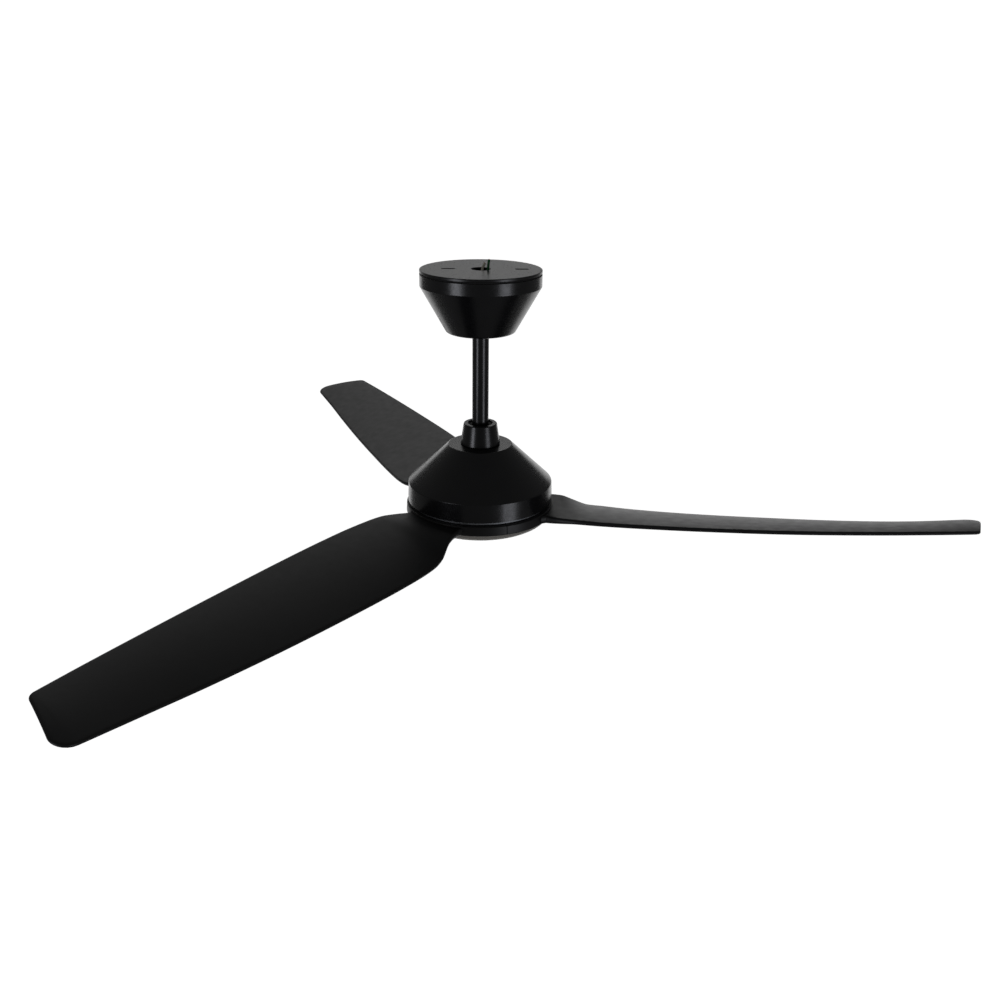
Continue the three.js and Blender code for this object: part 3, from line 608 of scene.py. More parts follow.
def slot_cutter(start, end):
    """A round-ended slot along X through the ceiling plate."""
    r = SLOT_WIDTH / 2
    outline = [(end - r + polar(r, a)[0], polar(r, a)[1]) for a in range(-90, 91, 12)]
    outline += [(start + r + polar(r, a)[0], polar(r, a)[1]) for a in range(90, 271, 12)]
    return prism(outline, -PLATE_SHEET - 2, 2)


def threaded_stud(x):
    profile = [(0, -11), (1.9, -11), (2.4, -10.5)]
    z = -10.5
    while z < -3.2:
        profile += [(2.1, z + 0.4), (2.4, z + 0.8)]
        z += 0.8
    profile += [(2.4, -PLATE_SHEET + 0.4), (0, -PLATE_SHEET + 0.4)]
    return moved(lathe(profile, closed=False, facets=32), x, 0)


def ceiling_plate():
    profile = [
        (WIRE_HOLE_R, 0, 0.5), (PLATE_R, 0, 1.0), (PLATE_R, -PLATE_RIM, 0.3),
        (PLATE_R - PLATE_SHEET, -PLATE_RIM, 0.3), (PLATE_R - PLATE_SHEET, -PLATE_SHEET, 0.8),
        (WIRE_HOLE_R, -PLATE_SHEET, 0.3),
    ]
    sheet = lathe(profile, facets=160)
    extras = [threaded_stud(x) for x in (-STUD_X, STUD_X)]
    for azimuth in CANOPY_SCREWS:
        extras.append(spun(block((PLATE_R - 2.8, 0, -9.6), (1.6, 12, 16.8), 0.3), azimuth))
    extras.append(spun(block((PLATE_R - 5.2, 0, -7.7), (1.6, 12, 13.4), 0.3), CANOPY_HOOK))
    extras.append(spun(block((PLATE_R - 3.3, 0, -13.6), (2.6, 12, 1.6), 0.3), CANOPY_HOOK))
    whole = join(sheet, *extras)
    cutters = [slot_cutter(*span) for span in SLOTS]
    for azimuth in CANOPY_SCREWS:
        hole = bar(2.3, (PLATE_R - 6, 0, CANOPY_SCREW_Z), (PLATE_R, 0, CANOPY_SCREW_Z))
        cutters.append(spun(hole, azimuth))
    return cut(whole, *cutters)


def hanger_bracket():
    """A pressed steel strap: two legs on inward flanges, and the seat that the ball rests in."""
    low = SEAT_TOP - STRAP
    top = -PLATE_SHEET - GAP
    outline = [
        (17, top, 0.4), (STRAP_X, top, 3.4), (STRAP_X, low, 3.4), (-STRAP_X, low, 3.4),
        (-STRAP_X, top, 3.4), (-17, top, 0.4), (-17, top - STRAP, 0.4), (STRAP - STRAP_X, top - STRAP, 1),
        (STRAP - STRAP_X, SEAT_TOP, 1), (STRAP_X - STRAP, SEAT_TOP, 1), (STRAP_X - STRAP, top - STRAP, 1),
        (17, top - STRAP, 0.4),
    ]
    strap = spun(prism(rounded(outline), -STRAP_Y, STRAP_Y), 90, "X")
    key = block((0, BALL_R - 0.6, SEAT_TOP + 4), (4, 2.4, 8.4), 0.4)
    throat = block((0, -STRAP_Y, low + STRAP / 2), (2 * ROD_R + 2, 2 * STRAP_Y, STRAP + 2))
    seat_profile = [
        (0, low - 1), (SEAT_R - 0.6, low - 1), (SEAT_R, SEAT_TOP - 1.2), (SEAT_R + 0.9, SEAT_TOP + 1),
        (0, SEAT_TOP + 1),
    ]
    seat = lathe(seat_profile, closed=False)
    holes = [bar(2.8, (x, 0, top - STRAP - 1), (x, 0, top + 1)) for x in (-STUD_X, STUD_X)]
    opened = cut(strap, seat, throat, *holes)
    return join(opened, key)


def canopy_shell():
    profile = [
        (PLATE_R, CANOPY_TOP, 0.5), (PLATE_R, CANOPY_CREASE, 1.4), (43.8, CANOPY_BOTTOM, 5.0),
        (CANOPY_MOUTH_R, CANOPY_BOTTOM, 0.5), (CANOPY_MOUTH_R, CANOPY_BOTTOM + CANOPY_SHEET, 0.4),
        (42.7, CANOPY_BOTTOM + CANOPY_SHEET, 3.6), (PLATE_R - CANOPY_SHEET, CANOPY_CREASE - 0.6, 0.8),
        (PLATE_R - CANOPY_SHEET, CANOPY_TOP, 0.5),
    ]
    shell = lathe(profile, facets=160)
    lug = spun(block((PLATE_R - 2.1, 0, -11.5), (2.2, 10, 2), 0.3), CANOPY_HOOK)
    holes = []
    for azimuth in CANOPY_SCREWS:
        hole = bar(2.4, (PLATE_R - 3, 0, CANOPY_SCREW_Z), (PLATE_R + 3, 0, CANOPY_SCREW_Z))
        holes.append(spun(hole, azimuth))
    return cut(join(shell, lug), *holes)


def build_mount():
    body = "ceiling_mount"
    part("ceiling_plate", ceiling_plate(), body, "plate_paint")
    part("hanger_bracket", hanger_bracket(), body, "zinc_steel")
    nut_top = -PLATE_SHEET - 2 * GAP - STRAP
    for i, x in enumerate((-STUD_X, STUD_X)):
        part(f"bracket_nut_{i + 1}", hex_nut(7, nut_top - 3.6, nut_top, 2.7, (x, 0)), body, "zinc_steel")
    part("canopy_seal", ring(PLATE_R - PLATE_SHEET, PLATE_R - 0.5, -5.3, -3.9, 0.4, 160), body, "rubber")
    part("canopy_shell", canopy_shell(), body, "black_paint")
    for i, azimuth in enumerate(CANOPY_SCREWS):
        lying = moved(spun(screw(4, 2.2, 1.9, 6.5), 90, "Y"), PLATE_R + GAP, 0, CANOPY_SCREW_Z)
        part(f"canopy_screw_{i + 1}", spun(lying, azimuth), body, "dark_steel")


# ------------------------ wiring in the canopy


TERMINALS = (-9.3, 0, 9.3)


def build_wiring():
    body = "ceiling_mount"
    middle = TERMINAL_BACK - 6.5
    terminal = block((0, middle, -8.6), (30, 13, 13), 0.6)
    cutters = []
    for x in TERMINALS:
        cutters.append(bar(2.4, (x, middle, -17), (x, middle, -12)))
    for x in (-4.65, 4.65):
        cutters.append(block((x, middle, -15.6), (1, 15, 3)))
    part("terminal_block", cut(terminal, *cutters), body, "white_plastic")
    heads = []
    for x in TERMINALS:
        profile = [(0, -12.1), (2.0, -12.1, 0.2), (2.0, -13.6, 0.4), (0, -13.6)]
        head = lathe(profile, closed=False, facets=32)
        heads.append(moved(cut(head, block((0, 0, -13.6), (5, 0.6, 1))), x, middle))
    piece("terminal_screws", together(*heads), body, "zinc_steel")

    receiver = block((0, 50, -9.6), (52, 20, 15), 2.0, 4)
    lid = block((0, 50, -17.7), (48, 16, 1.6), 0.6)
    grooves = [block((x, 40, -9.6), (1.2, 1.2, 9)) for x in range(-18, 19, 4)]
    part("remote_receiver", cut(join(receiver, lid), *grooves), body, "black_plastic")


# ------------------------ ball, downrod and coupling

ROD_TOP = -30
ROD_END = -220
COVER_TOP = -200
HOUSING_TOP = -228.2
PIN_Z = -210
SET_SCREW_Z = -214.5
SHAFT_R = 8.5
HOUSING_SCREW_R = 19.5
HOUSING_SCREW_ANGLES = (90, 210, 330)


def hanger_ball():
    above, below, steps = 14, -15.5, 22
    start, end = math.asin(above / BALL_R), math.asin(below / BALL_R)
    bore = ROD_R + GAP
    profile = [(bore, BALL_Z + above, 0.4)]
    for i in range(steps + 1):
        angle = start + (end - start) * i / steps
        profile.append((BALL_R * math.cos(angle), BALL_Z + BALL_R * math.sin(angle)))
    profile.append((bore, BALL_Z + below, 0.4))
    groove = block((0, BALL_R, BALL_Z), (5.6, 8.6, 2 * BALL_R + 2), 0.5)
    cross = bar(2.8, (-BALL_R - 1, 0, BALL_Z), (BALL_R + 1, 0, BALL_Z))
    return cut(lathe(profile), groove, cross)


def rod_coupling():
    bore = ROD_R + GAP
    profile = [
        (bore, -204, 0.5), (15.5, -204, 1), (15.5, -230.5, 1.2), (27, -230.5, 0.6), (27, -234, 0.6),
        (13, -234, 0.3), (13, -238, 0.6), (SHAFT_R + GAP, -238, 0.3),
        (SHAFT_R + GAP, ROD_END - GAP), (bore, ROD_END - GAP),
    ]
    body = lathe(profile)
    cutters = [
        bar(3.3, (-20, 0, PIN_Z), (20, 0, PIN_Z)),
        bar(2.8, (0, -20, SET_SCREW_Z), (0, 20, SET_SCREW_Z)),
        *uprights(2, -236, -229, HOUSING_SCREW_R, HOUSING_SCREW_ANGLES),
    ]
    return cut(body, *cutters)


def coupling_pin():
    profile = [
        (0, -19.6), (4.6, -19.6, 0.5), (4.6, -17.6, 0.3), (3, -17.6), (3, 16.2),
        (2, 16.2), (2, 17.2), (3, 17.2), (3, 18.4, 0.5), (0, 18.4),
    ]
    return moved(spun(lathe(profile, closed=False, facets=40), 90, "Y"), 0, 0, PIN_Z)


def pin_clip():
    """A spring clip open on one side, sitting in the pin's groove."""
    outline = [polar(5 - 0.5 * math.cos(math.radians(a)), a) for a in range(-140, 141, 10)]
    outline += [polar(2.4, a) for a in range(140, -141, -10)]
    return moved(spun(prism(outline, -0.4, 0.4, 0.12), 90, "Y"), 16.7, 0, PIN_Z)


def set_screw(side):
    profile = [(0, 10.95), (1.6, 10.95, 0.2), (2.5, 11.8), (2.5, 16, 0.4), (0, 16)]
    shank = lathe(profile, closed=False, facets=32)
    socket = prism([polar(1.45, 60 * i) for i in range(6)], 13.6, 17)
    standing = cut(shank, socket)
    return moved(spun(standing, -90 * side, "X"), 0, 0, SET_SCREW_Z)


def coupling_cover():
    low = HOUSING_TOP + GAP
    profile = [
        (16.3, COVER_TOP, 0.5), (21.8, COVER_TOP, 1.3), (26.1, low, 0.7), (24.1, low, 0.3),
        (19.8, COVER_TOP - 1.8, 0.8), (16.3, COVER_TOP - 1.6, 0.3),
    ]
    return lathe(profile, facets=128)


def build_hanging():
    body = "hanging_unit"
    part("hanger_ball", hanger_ball(), body, "nylon")
    pin = lathe([(0, -17.5), (2.5, -17.5, 0.5), (2.5, 17.5, 0.5), (0, 17.5)], closed=False, facets=32)
    part("ball_pin", moved(spun(pin, 90, "Y"), 0, 0, BALL_Z), body, "zinc_steel")
    rod = ring(ROD_BORE_R, ROD_R, ROD_END, ROD_TOP, 0.5, 96)
    drill = [bar(2.8, (-20, 0, BALL_Z), (20, 0, BALL_Z)), bar(3.3, (-20, 0, PIN_Z), (20, 0, PIN_Z))]
    part("downrod", cut(rod, *drill), body, "black_paint")
    part("rod_coupling", rod_coupling(), body, "cast_aluminium")
    part("coupling_pin", coupling_pin(), body, "zinc_steel")
    part("pin_clip", pin_clip(), body, "dark_steel")
    part("set_screw_1", set_screw(1), body, "dark_steel")
    part("set_screw_2", set_screw(-1), body, "dark_steel")
    part("coupling_cover", coupling_cover(), "sliding_cover", "black_paint")
    gasket = ring(ROD_R + GAP, 18.8, COVER_TOP - 3.7, COVER_TOP - 1.9, 0.6)
    part("cover_gasket", gasket, "sliding_cover", "rubber")


# ------------------------ motor housing and control board

HOUSING_END = -303.6
HOUSING_CREASE = -279.2
BOARD_TOP = -243


def motor_housing():
    profile = [
        (16.3, HOUSING_TOP, 0.4), (41.9, HOUSING_TOP, 2.4), (95.6, HOUSING_CREASE, 2.4),
        (96.6, HOUSING_END, 0.1), (94.6, HOUSING_END, 0.4), (93.2, HOUSING_CREASE - 1.6, 2),
        (40.3, HOUSING_TOP - 2, 2), (16.3, HOUSING_TOP - 2, 0.4),
    ]
    shell = lathe(profile, facets=180)
    bosses = uprights(3, BOARD_TOP + GAP, HOUSING_TOP - 1, 35, (30, 150, 270), 32)
    holes = uprights(2, -232, -227, HOUSING_SCREW_R, HOUSING_SCREW_ANGLES)
    return cut(join(shell, *bosses), *holes)


def build_housing():
    body = "hanging_unit"
    part("motor_housing", motor_housing(), body, "black_paint")
    place = (HOUSING_SCREW_R, HOUSING_SCREW_ANGLES, HOUSING_TOP + GAP)
    screws("housing_screw", (2.8, 1.9, 1.6, 7), *place, body, "dark_steel", hanging=False)
    part("control_board", ring(16, 42, -244.6, BOARD_TOP, 0.2), body, "circuit_board")
    chips = []
    for azimuth, r in ((25, 20), (145, 28), (200, 22), (310, 30)):
        chips.append(spun(block((r, 0, -246.5), (9, 7, 3.8), 0.4), azimuth))
    piece("board_chips", together(*chips), body, "nylon")
    profile = [
        (0, BOARD_TOP), (4.5, BOARD_TOP, 0.5), (4.5, -241.4, 0.4), (4.1, -240.9, 0.4), (4.5, -240.4, 0.4),
        (4.5, -236, 0.8), (3.6, -236, 0.2), (3.4, -236.3), (0, -236.3),
    ]
    cans = [moved(lathe(profile, closed=False, facets=40), *polar(29, a)) for a in (70, 110)]
    piece("board_capacitors", together(*cans), body, "cast_aluminium")


# ------------------------ motor

STATOR_R = 55
STATOR_TOP = -270
STATOR_END = -288
TEETH = 12
BELL_SCREW_R = 65
BELL_SCREW_ANGLES = (0, 120, 240)
BASE_END = -307.9
RACE_HEIGHT = 8
SQUARE = ((1, 1), (-1, 1), (-1, -1), (1, -1))


def stator_core():
    """Laminations: twelve teeth with broad heads on a round yoke."""
    outline = []
    for i in range(TEETH):
        middle = i * 360 / TEETH
        outline += [polar(26, middle - 6.6), polar(49, middle - 3.5), polar(52, middle - 12.6)]
        outline += [polar(STATOR_R, middle + step) for step in (-12.6, -8.4, -4.2, 0, 4.2, 8.4, 12.6)]
        outline += [polar(52, middle + 12.6), polar(49, middle + 3.5), polar(26, middle + 6.6)]
    bore = bar(SHAFT_R + GAP, (0, 0, STATOR_END - 1), (0, 0, STATOR_TOP + 1), 64)
    return cut(prism(outline, STATOR_END, STATOR_TOP), bore)


def stator_winding():
    """A coil round each tooth."""
    middle = (STATOR_TOP + STATOR_END) / 2
    half_width, half_height, wall = 3.5, 9.3, 4.0
    outer = [(i * (half_width + wall), j * (half_height + wall), 3.4) for i, j in SQUARE]
    inner = [(i * half_width, j * half_height, 0.5) for i, j in SQUARE]
    coils = []
    for i in range(TEETH):
        coil = cut(prism(rounded(outer), 31, 46.6, 0.9), prism(rounded(inner), 28, 50))
        coil.data.transform(Matrix(((0, 0, 1, 0), (1, 0, 0, 0), (0, 1, 0, middle), (0, 0, 0, 1))))
        coils.append(spun(coil, i * 360 / TEETH))
    return together(*coils)


def outer_race(top):
    low = top - RACE_HEIGHT
    profile = [
        (17.5, low, 0.6), (17.5, top, 0.6), (11.3, top, 0.2), (11.3, top - 0.8),
        (14.5, top - 0.8), (14.5, low + 0.8), (11.3, low + 0.8), (11.3, low, 0.2),
    ]
    return lathe(profile)


def rotor_bell():
    profile = [
        (14.8, -251.4, 0.3), (21, -251.4, 0.6), (21, -260, 0.8), (62, -260, 1.5),
        (62, -298.3, 0.8), (68, -298.3, 0.5), (68, -301, 0.5), (59, -301, 0.3),
        (59, -263, 1), (17.8, -263, 0.4), (17.8, -253.7, 0.2), (14.8, -253.7, 0.2),
    ]
    bell = lathe(profile)
    vents = uprights(7, -264, -259, 40, range(0, 360, 60), 40)
    holes = uprights(2, -302, -297, BELL_SCREW_R, BELL_SCREW_ANGLES)
    return cut(bell, *vents, *holes)


def rotor_base():
    profile = [
        (14.8, BASE_END, 0.3), (92, BASE_END, 0.6), (92, -304.4, 0.6), (68, -304.4, 0.8),
        (68, -301.3, 0.5), (60, -301.3, 0.5), (60, -304.4, 0.8), (21, -304.4, 0.8),
        (21, -296, 0.6), (17.8, -296, 0.3), (17.8, -305.3, 0.2), (14.8, -305.3, 0.2),
    ]
    base = lathe(profile, facets=128)
    cutters = []
    for azimuth in BELL_SCREW_ANGLES:
        cutters += uprights(2, -309, -300, BELL_SCREW_R, [azimuth])
        blade_screws = [FIRST_SECTOR + azimuth + angle for angle in BLADE_SCREW_ANGLES]
        cutters += uprights(2.3, -309, -303, BLADE_SCREW_R, blade_screws)
    return cut(base, *cutters)


def build_motor():
    profile = [
        (5, -220.6, 0.4), (SHAFT_R, -220.6, 0.6), (SHAFT_R, -311, 0.3), (12, -311, 0.4), (12, -321.9, 0.4),
        (SHAFT_R, -321.9, 0.3), (SHAFT_R, -330.2, 0.6), (5, -330.2, 0.4),
    ]
    shaft = lathe(profile, facets=72)
    part("motor_shaft", shaft, "hanging_unit", "dark_steel")
    part("stator_core", stator_core(), "hanging_unit", "lamination")
    part("stator_winding", stator_winding(), "hanging_unit", "copper")
    for place, top in (("upper", -254), ("lower", -297)):
        inner_race = ring(8.8, 11, top - RACE_HEIGHT, top, 0.5, 72)
        part(f"{place}_inner_race", inner_race, "hanging_unit", "zinc_steel")
        part(f"{place}_outer_race", outer_race(top), "rotor", "zinc_steel")
    part("rotor_bell", rotor_bell(), "rotor", "cast_aluminium")
    part("rotor_base", rotor_base(), "rotor", "cast_aluminium")
    magnets = ring(55.6, 58.7, -292, -266, 0.4, 144)
    grooves = [spun(block((55.6, 0, -279), (1.2, 0.6, 30)), 360 * (i + 0.5) / 14) for i in range(14)]
    part("magnet_ring", cut(magnets, *grooves), "rotor", "ferrite")
    place = (BELL_SCREW_R, BELL_SCREW_ANGLES, BASE_END - GAP)
    screws("bell_screw", (3, 2, 1.6, 9.5), *place, "rotor", "dark_steel")


# ------------------------ blades

RING_TOP = -308.2
RING_END = -320.9
RING_TOP_R = 98.3
RING_END_R = 99.1
RING_BORE_R = 72
RING_SEAM_ANGLE = 0.13  # half the seam between two thirds of the ring, degrees
BLADE_COUNT = 3
FIRST_SECTOR = -9.5
BLADE_LEAN = 3
BLADE_SCREW_R = 84
BLADE_SCREW_ANGLES = (-38, 38)
BLADE_CAMBER = 3
BLADE_WELL = 5  # depth of the wells that the screw heads sit in

# Along the blade: distance out, offset and height of the leading edge.
LEAD_EDGE = [
    (80, 42, -314.6), (93, 49, -314), (110, 58, -311.5), (130, 65, -309), (165, 69.5, -308.6),
    (210, 71, -308.7), (290, 69.5, -309.5), (400, 63.5, -310.4), (500, 55, -310),
    (580, 46.5, -309.2), (642, 38.8, -308.6),
]
# The same for the trailing edge.
TRAIL_EDGE = [
    (80, -34, -314.6), (93, -38, -315.2), (110, -40, -316.3), (120, -41.3, -320), (130, -44.7, -325),
    (143, -49.3, -331), (165, -53.8, -334.2), (210, -53.8, -337.3), (290, -51.5, -339),
    (400, -48.3, -338.3), (500, -44.5, -335.6), (580, -42, -331), (670, -43, -323),
]
# Distance out and thickness.
BLADE_THICK = [
    (80, 10.4), (93, 10), (110, 8), (130, 6.4), (165, 5.6), (210, 5.4),
    (290, 5.2), (400, 5), (500, 4.8), (580, 4.6), (670, 4.2),
]
TIP_START = 580
TIP_LEAD_R = 11
TIP_TRAIL_R = 17
LEAD_FLARE = 6  # radius between the leading edge and the ring's wall
TRAIL_FLARE = 3
NOSE = 2.2  # depth of the rounding along the blade's edges


def row_at(rows, x):
    """The numbers at x on smooth curves through rows that start with their own x."""
    i = max(0, min(len(rows) - 2, sum(row[0] <= x for row in rows) - 1))

    def slopes(k):
        low, high = rows[max(k - 1, 0)], rows[min(k + 1, len(rows) - 1)]
        return [(b - a) / (high[0] - low[0]) for a, b in zip(low[1:], high[1:])]

    width = rows[i + 1][0] - rows[i][0]
    t = (x - rows[i][0]) / width
    start, end = 2 * t**3 - 3 * t**2 + 1, 3 * t**2 - 2 * t**3
    leave, arrive = (t**3 - 2 * t**2 + t) * width, (t**3 - t**2) * width
    columns = zip(rows[i][1:], rows[i + 1][1:], slopes(i), slopes(i + 1))
    return [start * a + end * b + leave * sa + arrive * sb for a, b, sa, sb in columns]


def edge_point(rows, out):
    return Vector((out, *row_at(rows, out)))


def blade_sections():
    """Leading edge point, trailing edge point, thickness and camber of each section, root to tip."""
    sections = []
    outs = [80, 86, 92] + [96 + 1.5 * i for i in range(10)] + [112 + 6 * i for i in range(13)]
    outs += [190 + 10 * i for i in range(40)]
    for out in outs:
        lead, trail = edge_point(LEAD_EDGE, out), edge_point(TRAIL_EDGE, out)
        for point, side, flare in ((lead, 1, LEAD_FLARE), (trail, -1, TRAIL_FLARE)):
            off_wall = math.hypot(point.x, point.y) - RING_END_R
            if off_wall < flare:
                reach = flare - max(off_wall, 0)
                point.y += side * (flare - math.sqrt(flare**2 - reach**2))
        t = max(0.0, min(1.0, (out - 95) / 60))
        sections.append((lead, trail, row_at(BLADE_THICK, out)[0], BLADE_CAMBER * t * t * (3 - 2 * t)))
    lead_corner = edge_point(LEAD_EDGE, LEAD_EDGE[-1][0])
    trail_corner = edge_point(TRAIL_EDGE, TRAIL_EDGE[-1][0])
    shares = [0, 0.14, 0.28, 0.42, 0.55, 0.67, 0.77, 0.86, 0.93, 0.975, 1]
    leads = corner_arc(edge_point(LEAD_EDGE, 622), lead_corner, trail_corner, TIP_LEAD_R, shares)
    trails = corner_arc(edge_point(TRAIL_EDGE, 650), trail_corner, lead_corner, TIP_TRAIL_R, shares)
    steps = 7
    for i in range(1, steps):
        lead_out = TIP_START + (leads[0].x - TIP_START) * i / steps
        trail_out = TIP_START + (trails[0].x - TIP_START) * i / steps
        lead, trail = edge_point(LEAD_EDGE, lead_out), edge_point(TRAIL_EDGE, trail_out)
        sections.append((lead, trail, row_at(BLADE_THICK, (lead_out + trail_out) / 2)[0], BLADE_CAMBER))
    for share, lead, trail in zip(shares, leads, trails):
        sections.append((lead, trail, BLADE_THICK[-1][1], BLADE_CAMBER * (1 - share * 0.6)))
    return sections


def across_places(chord):
    """Shares of the chord, close together in the rounded edges."""
    near = [d / chord for d in (0, 0.1, 0.35, 0.75, 1.3, 2.2, 3.6)]
    half = near + [0.075, 0.12, 0.18, 0.25, 0.33, 0.415]
    return half + [0.5] + [1 - p for p in reversed(half)]


def wing():
    """The blade itself, sewn along its outline, with its root end closed inside the ring."""
    sections = blade_sections()
    outline = [lead for lead, *_ in sections] + [s[1] for s in reversed(sections)]
    line = np.array([tuple(p) for p in outline])
    starts, runs = line[:-1], np.diff(line, axis=0)
    lengths = np.maximum((runs**2).sum(1), 1e-9)

    def depth(point):
        """Distance in from the outline."""
        t = np.clip(((point - starts) * runs).sum(1) / lengths, 0, 1)
        return float(np.sqrt((((starts + t[:, None] * runs) - point) ** 2).sum(1).min()))

    bm = bmesh.new()
    tops, unders = [], []
    for number, (lead, trail, thick, camber) in enumerate(sections):
        chord = lead - trail
        flat = math.hypot(chord.y, chord.z)
        up = Vector((0, -chord.z / flat, chord.y / flat))
        top_row, under_row = [], []
        places = across_places(chord.length)
        last = number == len(sections) - 1
        for k, place in enumerate(places):
            flat_point = trail + chord * place
            inward = depth(np.array(tuple(flat_point)))
            share = 1.0 if inward >= NOSE else math.sqrt(max(0.0, 1 - (1 - inward / NOSE) ** 2))
            middle = flat_point + up * (camber * 4 * place * (1 - place))
            if k in (0, len(places) - 1) or last:
                vertex = bm.verts.new(middle)
                top_row.append(vertex)
                under_row.append(vertex)
            else:
                top_row.append(bm.verts.new(middle + up * (share * thick / 2)))
                under_row.append(bm.verts.new(middle - up * (share * thick / 2)))
        tops.append(top_row)
        unders.append(under_row)
    for rows in (tops, unders):
        for a, b in zip(rows, rows[1:]):
            for k in range(len(a) - 1):
                around = list(dict.fromkeys([a[k], a[k + 1], b[k + 1], b[k]]))
                if len(around) > 2:
                    bm.faces.new(around)
    bm.faces.new(tops[0] + unders[0][-2:0:-1])
    bmesh.ops.scale(bm, vec=(1, -1, 1), verts=bm.verts)
    return spun(work(bm), BLADE_LEAN)


def ring_third():
    """A third of the blade ring, with eased edges at its seams."""
    corners = [
        (RING_BORE_R, RING_END, 0.6), (RING_END_R, RING_END, 1.6),
        (RING_TOP_R, RING_TOP, 1.2), (RING_BORE_R, RING_TOP, 0.6),
    ]
    profile = rounded(corners)
    bm = bmesh.new()
    reach = 60 - RING_SEAM_ANGLE
    steps = 54
    rows = []
    for i in range(steps + 1):
        azimuth = -reach + 2 * reach * i / steps
        rows.append([bm.verts.new((*polar(r, azimuth), z)) for r, z in profile])
    for a, b in zip(rows, rows[1:]):
        for k in range(len(profile)):
            j = (k + 1) % len(profile)
            bm.faces.new([a[k], a[j], b[j], b[k]])
    caps = [bm.faces.new(rows[0]), bm.faces.new(rows[-1])]
    edges = [edge for cap in caps for edge in cap.edges]
    bmesh.ops.recalc_face_normals(bm, faces=bm.faces)
    bmesh.ops.bevel(bm, geom=edges, offset=0.45, segments=2, affect="EDGES", profile=0.5)
    return work(bm)


def blade():
    cutters = []
    for angle in BLADE_SCREW_ANGLES:
        cutters += uprights(2.3, RING_END - 1, RING_TOP + 1, BLADE_SCREW_R, [angle])
        cutters += uprights(4.6, RING_END - 1, RING_END + BLADE_WELL, BLADE_SCREW_R, [angle], 40)
    return cut(join(ring_third(), wing()), *cutters)


def build_blades():
    first = blade()
    for i in range(BLADE_COUNT):
        azimuth = FIRST_SECTOR + 120 * i
        copy = linked("work", first.data.copy())
        part(f"blade_{i + 1}", spun(copy, azimuth), "rotor", "black_plastic", sharp=38)
        angles = [azimuth + angle for angle in BLADE_SCREW_ANGLES]
        place = (BLADE_SCREW_R, angles, RING_END + BLADE_WELL - GAP)
        number = len(angles) * i + 1
        screws("blade_screw", (4, 2.4, 1.9, 10.8), *place, "rotor", "dark_steel", first=number)
    bpy.data.objects.remove(first)


# ------------------------ light unit

PAN_TOP = -322.2
PAN_END = -323.7
BOWL_TOP = -321.6
BOWL_R = 94
BOWL_DEPTH = 24
BOWL_WALL = 2
LED_SCREW_R = 56
LED_SCREW_ANGLES = (30, 150, 270)
LED_BOARD_SHEET = 1.6


def bowl(r, depth, steps=24):
    points = []
    for i in range(steps + 1):
        angle = i / steps * math.pi / 2
        points.append((r * math.cos(angle) if i < steps else 0, BOWL_TOP - depth * math.sin(angle)))
    return points


def build_light():
    body = "hanging_unit"
    pan = lathe([(9, PAN_END, 0.3), (90, PAN_END, 0.5), (90, PAN_TOP, 0.5), (9, PAN_TOP, 0.3)], facets=128)
    holes = [bar(4, (0, 18, PAN_END - 1), (0, 18, PAN_TOP + 1))]
    holes += uprights(2, PAN_END - 1, PAN_TOP + 1, LED_SCREW_R, LED_SCREW_ANGLES)
    board_holes = uprights(2, PAN_END - 3, PAN_END + 1, LED_SCREW_R, LED_SCREW_ANGLES)
    part("light_pan", cut(pan, *holes), body, "cast_aluminium")
    nut_top = PAN_END - GAP
    part("shaft_nut", hex_nut(24, nut_top - 4.6, nut_top, SHAFT_R + GAP), body, "zinc_steel")
    driver = block((0, 38, -317.4), (58, 24, 8.4), 1.2, 3)
    plain_panel = block((0, 38, -313), (40, 16, 0.8), 0.2)
    part("led_driver", join(driver, plain_panel), body, "white_plastic")
    board = ring(17, 80, nut_top - LED_BOARD_SHEET, nut_top, 0.2, 128)
    part("led_board", cut(board, *board_holes), body, "white_board")
    chips = []
    for count, r in ((6, 36), (10, 68)):
        for i in range(count):
            chip = block((r, 0, nut_top - 2.15), (3.4, 3.4, 1.0), 0.2)
            chips.append(spun(chip, (i + 0.5) * 360 / count))
    piece("led_chips", together(*chips), body, "phosphor", slot="white_board")
    place = (LED_SCREW_R, LED_SCREW_ANGLES, nut_top - GAP - LED_BOARD_SHEET)
    screws("led_screw", (3, 1.8, 1.6, 3.2), *place, body, "zinc_steel")
    outer = bowl(BOWL_R, BOWL_DEPTH)
    inner = bowl(BOWL_R - BOWL_WALL, BOWL_DEPTH - BOWL_WALL)
    part("light_diffuser", lathe(inner[::-1] + outer, closed=False, facets=160), body, "opal")


build_mount()
build_wiring()
build_hanging()
build_housing()
build_motor()
build_blades()
build_light()

# ------------------------ studio

FLOOR_Z = -8
STUDIO_R = 14
STUDIO_TOP = 9
COVE = 2
STUDIO_MIDDLE = Vector((0, 0, -0.2))
COOL = (0.95, 0.97, 1.05)


def add_floor():
    """A pale floor rising through a cove into pale walls; it is only a backdrop and lights nothing."""
    profile = [(0, FLOOR_Z), (STUDIO_R, FLOOR_Z, COVE), (STUDIO_R, STUDIO_TOP, COVE), (0, STUDIO_TOP)]
    floor = lathe(profile, closed=False)
    floor.name = "floor"
    for face in floor.data.polygons:
        face.use_smooth = True
    pale = Look("pale_floor")
    pale.colour(pale.mixed(pale.ranged(pale.noise(0.4), 0.0, 1.0), linear("dcdcdb"), linear("e2e2e1")))
    pale.set(Roughness=0.9, Emission_Color=(1, 1, 1, 1), Emission_Strength=0.95)
    pale.material.cycles.emission_sampling = "NONE"
    floor.data.materials.append(pale.material)
    for ray in ("diffuse", "glossy", "transmission", "shadow"):
        setattr(floor, f"visible_{ray}", False)


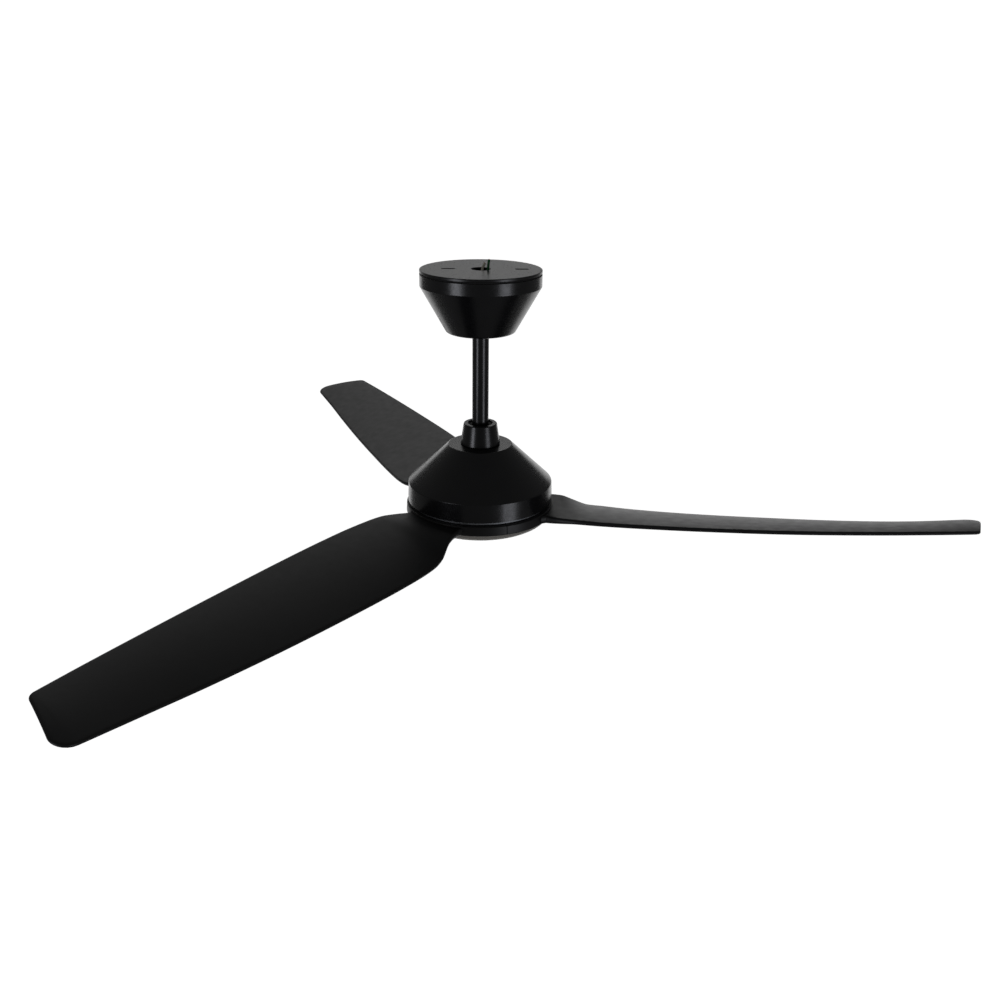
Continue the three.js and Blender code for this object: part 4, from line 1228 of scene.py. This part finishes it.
def add_softbox(name, azimuth, elevation, width, height, strength, tint=(1, 1, 1), distance=4.0):
    """An area light aimed at the fan, given by its direction, its size in degrees and its brightness."""
    data = bpy.data.lights.new(name, "AREA")
    data.shape = "RECTANGLE"
    data.size = 2 * distance * math.tan(math.radians(width / 2))
    data.size_y = 2 * distance * math.tan(math.radians(height / 2))
    data.energy = strength * math.pi * data.size * data.size_y
    data.color = tint
    light = linked(name, data)
    flat_x, flat_y = polar(math.cos(math.radians(elevation)), azimuth)
    towards = Vector((flat_x, flat_y, math.sin(math.radians(elevation))))
    light.location = STUDIO_MIDDLE + distance * towards
    light.rotation_euler = (-towards).to_track_quat("-Z", "Y").to_euler()
    light.visible_camera = False


def add_world():
    """A dim room: a little light round the horizon and from the ceiling, hardly any between them."""
    world = bpy.data.worlds.new("studio")
    bpy.context.scene.world = world
    world.use_nodes = True
    nodes, links = world.node_tree.nodes, world.node_tree.links
    background = nodes["Background"]
    place = nodes.new("ShaderNodeTexCoord")
    parts = nodes.new("ShaderNodeSeparateXYZ")
    height = nodes.new("ShaderNodeMapRange")
    height.inputs["From Min"].default_value = -1.0
    ramp = nodes.new("ShaderNodeValToRGB")
    stops = [(-0.3, 0.12), (-0.02, 0.13), (0.08, 0.03), (0.34, 0.12), (0.6, 0.13), (1.0, 0.11)]
    elements = ramp.color_ramp.elements
    while len(elements) < len(stops):
        elements.new(0.5)
    for element, (rise, shade) in zip(elements, stops):
        element.position = (rise + 1) / 2
        element.color = (shade, shade, shade, 1)
    links.new(place.outputs["Generated"], parts.inputs["Vector"])
    links.new(parts.outputs["Z"], height.inputs["Value"])
    links.new(height.outputs["Result"], ramp.inputs["Fac"])
    links.new(ramp.outputs["Color"], background.inputs["Color"])
    background.inputs["Strength"].default_value = 1.0


add_floor()
add_world()
add_softbox("backdrop_light", 89, -22.7, 74, 60, 0.95, distance=12)
add_softbox("left_softbox", 224, -7.5, 18, 20, 4.3, COOL)
add_softbox("right_softbox", 316, -11, 20, 22, 3.2, COOL)
add_softbox("rear_softbox", 103, 25, 44, 12, 0.95)
bpy.context.scene.view_settings.view_transform = "Standard"
bpy.context.scene.view_settings.look = "None"
